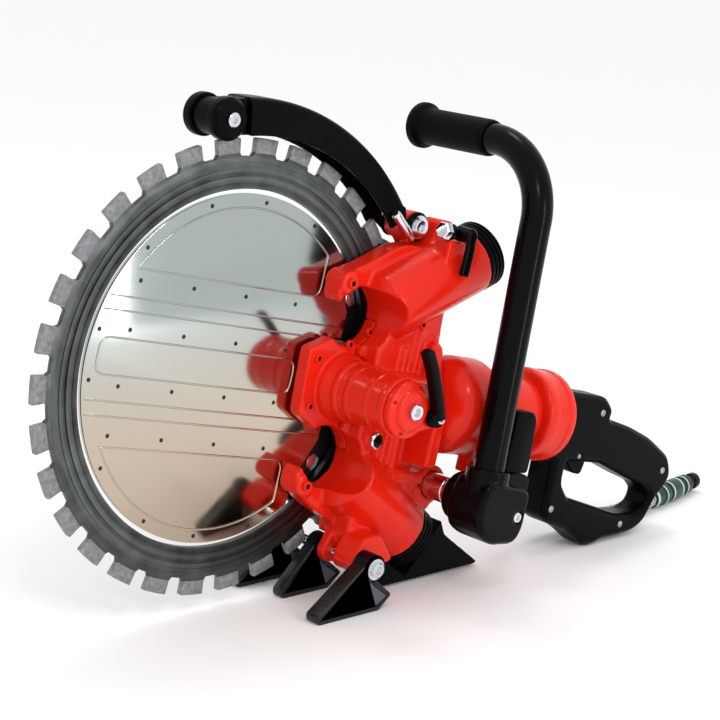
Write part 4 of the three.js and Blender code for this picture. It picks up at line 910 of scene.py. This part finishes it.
def curved_patch(radius, thick, x0, x1, half_angle):
    """A plate bent round the motor's top."""
    loops = []
    for i in range(25):
        angle = 90 - half_angle + 2 * half_angle * i / 24
        inner, outer = polar(radius, angle), polar(radius + thick, angle)
        loops.append([(x0, MOTOR_Y + inner[0], inner[1]), (x1, MOTOR_Y + inner[0], inner[1]),
                      (x1, MOTOR_Y + outer[0], outer[1]), (x0, MOTOR_Y + outer[0], outer[1])])
    return skin(loops)


def build_motor():
    end = BELL_X + BELL_LENGTH
    bell = [(BELL_X, BELL_RADIUS - 16), (BELL_X + 2, BELL_RADIUS - 9), (BELL_X + 7, BELL_RADIUS - 3)]
    bell += [(BELL_X + 14, BELL_RADIUS), (end - 8, BELL_RADIUS), (end - 3, BELL_RADIUS - 2)]
    bell.append((end, BELL_RADIUS - 6))
    piece("motor_front", on_motor_axis(soft(bell, 3, 5)), PAINT, "saw", "motor_bell")
    end = NECK_X + NECK_LENGTH
    lug = box_between((NECK_X + 5, MOTOR_Y - 7, -54), (NECK_X + 17, MOTOR_Y + 7, -27), 1.5)
    neck = shaped(on_motor_axis([(NECK_X, NECK_RADIUS), (end, NECK_RADIUS)]), [lug], voxel=0.9, smooth=5)
    piece("motor_barrel", neck, PAINT, "saw", "motor_neck", crease=CAST)
    end = CAN_X + CAN_LENGTH
    steps = [(CAN_X, 4), (CAN_X + 1.5, 1), (CAN_X + 4, 0), (CAN_X + 12, 0), (CAN_X + 13, 0.9)]
    steps += [(end - 12, 0.9), (end - 11, 0), (end - 5, 0), (end - 1.5, 2), (end, 5)]
    can = [(x, CAN_RADIUS - step) for x, step in steps]
    piece("motor_rear", on_motor_axis(soft(can, 1.2)), PAINT, "saw", "rear_can")
    inner = NECK_RADIUS + GAP
    base = curved_patch(inner, 1.3, NECK_X + 2, NECK_X + 40, 23)
    piece("blank_plate", base, LABEL, "saw", "rating_plate")
    field = curved_patch(inner + 1.3, 0.2, NECK_X + 5, NECK_X + 37, 20)
    piece("blank_plate_field", field, LABEL_DARK, "saw")
    bars = [curved_patch(inner + 1.5, 0.1, NECK_X + x, NECK_X + x + 1.2, 17) for x in (10, 17, 24, 31)]
    piece("blank_plate_lines", merged(*bars), LABEL, "saw")
    box = rounded([(230, -41.5), (258, -41.5), (258, -30), (255, 3), (250, 9), (234, 9), (230, 3)], 4)
    around = on_motor_axis([(BELL_X, BELL_RADIUS + GAP), (CAN_X + CAN_LENGTH, BELL_RADIUS + GAP)])
    silencer = shaped(prism(box, MOTOR_Y - BELL_RADIUS - 10, MOTOR_Y - 25, 1.5), cut=[around])
    piece("silencer_box", silencer, PLASTIC, "saw", "exhaust_silencer", crease=50)
    moulded("air_inlet", "hose_inlet", STEEL, 0.6, 4, crease=50)

# ---- Handles ----

def handle_line(end_y):
    """The middle line of the cranked handle tube, from its foot to the given Y."""
    leg_top = TOP_Z - BEND
    slope = TUBE_LEAN / (leg_top - TUBE_FOOT_Z)
    points = []
    for i in range(12):
        z = TUBE_FOOT_Z + (leg_top - TUBE_FOOT_Z) * i / 12
        points.append((HANDLE_X, TUBE_Y - (leg_top - z) * slope, z))
    for i in range(33):
        y, z = polar(BEND, 180 - 90 * i / 32)
        points.append((HANDLE_X, TUBE_Y + BEND + y, leg_top + z))
    return points + [(HANDLE_X, end_y, TOP_Z)]


def build_front_handle():
    piece("front_tube", tube(handle_line(GRIP_END - 8), TUBE_RADIUS, 64), GLOSS_BLACK, "saw",
          "handle_tube", crease=50)
    end = GRIP_END
    sleeve = [(GRIP_START, TUBE_RADIUS + 0.5), (GRIP_START, TUBE_RADIUS + 1.6), (GRIP_START + 3, GRIP_RADIUS)]
    sleeve += [(end - 12, GRIP_RADIUS), (end - 8, 19), (end - 2, 19), (end, 16.5)]
    grip = lathe(soft(sleeve, 1.6, 4), (HANDLE_X, 0, TOP_Z))
    piece("front_grip", grip, RUBBER, "saw", "handle_grip")
    pocket = cross(5.2, SHAFT_X + 22, -72, -123, -119.4)
    body = shaped(cad("handle_clamp"), cut=[pocket], voxel=0.9, smooth=7)
    piece("clamp_block", body, GLOSS_BLACK, "saw", "handle_clamp", crease=CAST)
    moulded("clamp_stay", "handle_stay", GLOSS_BLACK, 0.8, 5)
    screws = [socket_screw((SHAFT_X + 22, -119.6, -72), (0, -1, 0), 4.2, 2.2),
              socket_screw((SHAFT_X + 44, -95.4, -70), (0, -1, 0), 3.4, 2.0)]
    piece("clamp_screws", merged(*screws), CHROME, "saw", crease=HARD)
    rod = [(-88, SHAFT_RADIUS), (-66, SHAFT_RADIUS), (-65.5, 10.4), (-64, 10.4), (-63.5, SHAFT_RADIUS)]
    rod.append((-23, SHAFT_RADIUS))
    shaft = lathe(soft(rod, 0.4), (SHAFT_X, 0, SHAFT_Z))
    piece("handle_shaft", shaft, CHROME, "saw", "cross_shaft")


def build_rear_handle():
    moulded("rear_grip", "rear_handle", PLASTIC, 0.9, 12)
    moulded("trigger_blade", "trigger", PLASTIC, 0.5, 5, "throttle")
    y0, y1 = MOTOR_Y - 15, MOTOR_Y + 15
    screws = []
    for x, z in ((344, -78), (384, 10), (446, -88), (490, -36)):
        screws.append(dome((x, y0 + 0.2, z), (0, -1, 0), 3.2, 1.2, 24))
        screws.append(dome((x, y1 - 0.2, z), (0, 1, 0), 3.2, 1.2, 24))
    piece("handle_screws", merged(*screws), STEEL, "saw", crease=CAST)
    dress("trigger_pin", STEEL)

# ---- Guard ----

def guard_loop(degrees, along):
    """The guard's section at one angle: a channel with rounded shoulders, open towards the ring."""
    inner = GUARD_RADIUS - GUARD_DEPTH
    rim = GUARD_RADIUS + GUARD_RISE * along
    half = GUARD_HALF
    outer = [(inner, -half), (rim, -half), (rim, half), (inner, half)]
    outside = rounded(outer, 6, 5, closed=False)
    wall = half - GUARD_WALL
    roof = rim - GUARD_SKIN
    inside = rounded([(inner, wall), (roof, wall), (roof, -wall), (inner, -wall)], 3, 5, closed=False)
    loop = []
    for radius, y in outside + inside:
        x, z = polar(radius, degrees)
        loop.append((x, y, z))
    return loop


def build_guard():
    pivot_angle = math.degrees(math.atan2(PIVOT_Z, PIVOT_X))
    start, end = pivot_angle + 4.4, math.degrees(math.atan2(KNOB_Z, KNOB_X)) - 6.5
    inner = GUARD_RADIUS - GUARD_DEPTH
    loops = [guard_loop(start + (end - start) * i / 72, i / 72) for i in range(73)]
    parts = []
    wall = GUARD_HALF - GUARD_WALL
    for y0, y1 in ((-GUARD_HALF, -wall), (wall, GUARD_HALF)):
        web = [(PIVOT_X - 9, PIVOT_Z - 8), polar(inner + 1, start + 6), polar(GUARD_RADIUS, start + 2)]
        parts += [cross(PIVOT_RADIUS, PIVOT_X, PIVOT_Z, y0, y1), prism(web, y0, y1)]
    lug = KNOB_HALF - 11
    top = GUARD_RADIUS + GUARD_RISE - 0.6
    roof = arc(top - 1, end - 6, end, 4)
    floor_line = arc(inner + 0.5, end, end - 6, 4)
    parts.append(prism(roof + floor_line, -wall - 1, wall + 1))
    front = end + 6.5
    nose = [polar(top, end - 5), polar(top, front - 2), polar(inner + 1.5, front - 1), polar(inner, end - 5)]
    parts += [prism(rounded(nose, 2), -lug, lug), cross(KNOB_RADIUS - 2.5, KNOB_X, KNOB_Z, -lug, lug)]
    holes = [cross(4.3, PIVOT_X, PIVOT_Z, -40, 40), cross(KNOB_WAIST + 0.4, KNOB_X, KNOB_Z, -40, 40)]
    shell = shaped(skin(loops), parts, holes, voxel=0.85, smooth=7)
    piece("guard_cover", shell, PLASTIC, "guard", "guard_shell", crease=CAST)
    for side, name in ((-1, "near"), (1, "far")):
        profile = [(0.15, KNOB_WAIST), (KNOB_HALF - 10.6, KNOB_WAIST), (KNOB_HALF - 10.6, KNOB_RADIUS)]
        profile += [(KNOB_HALF - 3, KNOB_RADIUS), (KNOB_HALF, KNOB_RADIUS - 3)]
        knob = lathe(soft(profile, 1.4, 4), (KNOB_X, 0, KNOB_Z), (0, side, 0), 96, 3.3)
        piece(f"knob_{name}", knob, PLASTIC, "guard_knob", f"guard_knob_{name}")
    end_y = KNOB_HALF + GAP
    screw = merged(socket_screw((KNOB_X, -end_y, KNOB_Z), (0, -1, 0), 5.4, 2.9, 0.45),
                   cross(3, KNOB_X, KNOB_Z, -end_y, end_y, 32),
                   hex_bolt((KNOB_X, end_y, KNOB_Z), (0, 1, 0), 4.7, 2.9))
    piece("knob_screw", screw, CHROME, "guard_knob", "guard_knob_screw", crease=HARD)
    half = GUARD_HALF + GAP
    washer = [(half, 9.5), (half + 1.6, 9.5), (half + 1.6, 7)]
    bolt = merged(lathe(washer, (PIVOT_X, 0, PIVOT_Z), (0, -1, 0)),
                  socket_screw((PIVOT_X, -half - 1.6, PIVOT_Z), (0, -1, 0), 6.2, 2.9),
                  cross(4, PIVOT_X, PIVOT_Z, -half, half, 48),
                  hex_bolt((PIVOT_X, half, PIVOT_Z), (0, 1, 0), 7, 5.6))
    piece("guard_hinge_bolt", bolt, CHROME, "saw", "guard_pivot_bolt", crease=HARD)
    pin = [(0, 3), (1, 4), (24, 4), (25, 2.6), (30, 2.6)]
    stop = lathe(soft(pin, 0.6), (118, -GUARD_HALF - GAP - 4, 141), (22, 0, -15), 48)
    piece("guard_stop", stop, CHROME, "guard", "guard_stop_pin")

# ---- Feet and skirt ----

def build_feet():
    x, z, radius = FOOT_X, FOOT_Z, FOOT_RADIUS
    rim, depth, hole = 4.2, 1.5, 4.3
    feet = (("near", -75, -61, SOLE_X), ("mid", -16.5, -5.4, SOLE_X + 14), ("far", 21, 35, SOLE_X))
    for name, y0, y1, tip in feet:
        shape = [(x - radius + 1, z + 3), (tip - 3, floor_at(tip) + 6), (tip, floor_at(tip))]
        shape += [(138, floor_at(138)), (142, floor_at(142)), (153, -150), (x + 5, z - 9)]
        outline = rounded(shape, 3)
        pocket = rounded(inset(shape, rim), 1.5)
        cuts = [cross(hole, x, z, y0 - 1, y1 + 1)]
        cuts += [prism(pocket, y0 - 1, y0 + depth), prism(pocket, y1 - depth, y1 + 1)]
        blade = shaped(prism(outline, y0, y1, 0.9), [cross(radius, x, z, y0, y1)], cuts)
        hub = lathe(soft([(y0, radius), (y1, radius)], 0.6), (x, 0, z), (0, 1, 0), 96, hole)
        piece(f"{name}_foot_blade", merged(blade, hub), FOOT_EDGE, "saw", f"{name}_foot", crease=HARD)
        panel = prism(rounded(inset(shape, 4.4), 1.5), y0 + 0.7, y1 - 0.7)
        keep_clear = cross(radius + 0.6, x, z, y0 - 1, y1 + 1)
        panel = shaped(panel, cut=[keep_clear], voxel=0.7, smooth=2)
        piece(f"{name}_foot_panel", panel, FOOT, "saw", crease=HARD)
        low, high = 0.05, 1.2
        front, rear = tip + 1, 141
        corners = ((front, low), (rear, low), (rear, high), (front, high))
        sole = prism([(at, floor_at(at) + rise) for at, rise in corners], y0 + 0.5, y1 - 0.5)
        piece(f"{name}_foot_wear", sole, WORN, "saw", crease=HARD)
    near, far = -75 - GAP, 35 + GAP
    head = [(near - 1.5, 8.5), (near, 8.5)]
    parts = [lathe(head, (x, 0, z)), socket_screw((x, near - 1.5, z), (0, -1, 0), 6, 3.4),
             cross(4, x, z, near, far, 48), cross(7, x, z, 15, 20.7, 48),
             hex_bolt((x, far, z), (0, 1, 0), 6.2, 4.8)]
    piece("foot_bolt", merged(*parts), CHROME, "saw", "foot_shaft", crease=HARD)
    moulded("rubber_skirt", "splash_skirt", RUBBER, 1.0, 6)


def dress_inner_parts():
    nodes = [f"{side}_{level}_axle" for side in ("near", "far") for level in ("upper", "lower")]
    nodes += ["drive_wheel", "drive_shaft", "inner_shaft_bearing", "outer_shaft_bearing"]
    nodes += ["bevel_gear", "bevel_pinion", "motor_rotor"]
    nodes += [f"{level}_roller_cartridge" for level in ("upper", "lower")]
    nodes += [f"{level}_tension_spring" for level in ("upper", "lower")]
    for node in nodes:
        dress(node, STEEL)


add_camera()
build_hose()
add_studio()
build_ring()
build_disc()
build_main_frame()
build_gear_housing()
build_far_side()
build_rollers()
build_caps()
build_levers()
build_motor()
build_front_handle()
build_rear_handle()
build_guard()
build_feet()
dress_inner_parts()
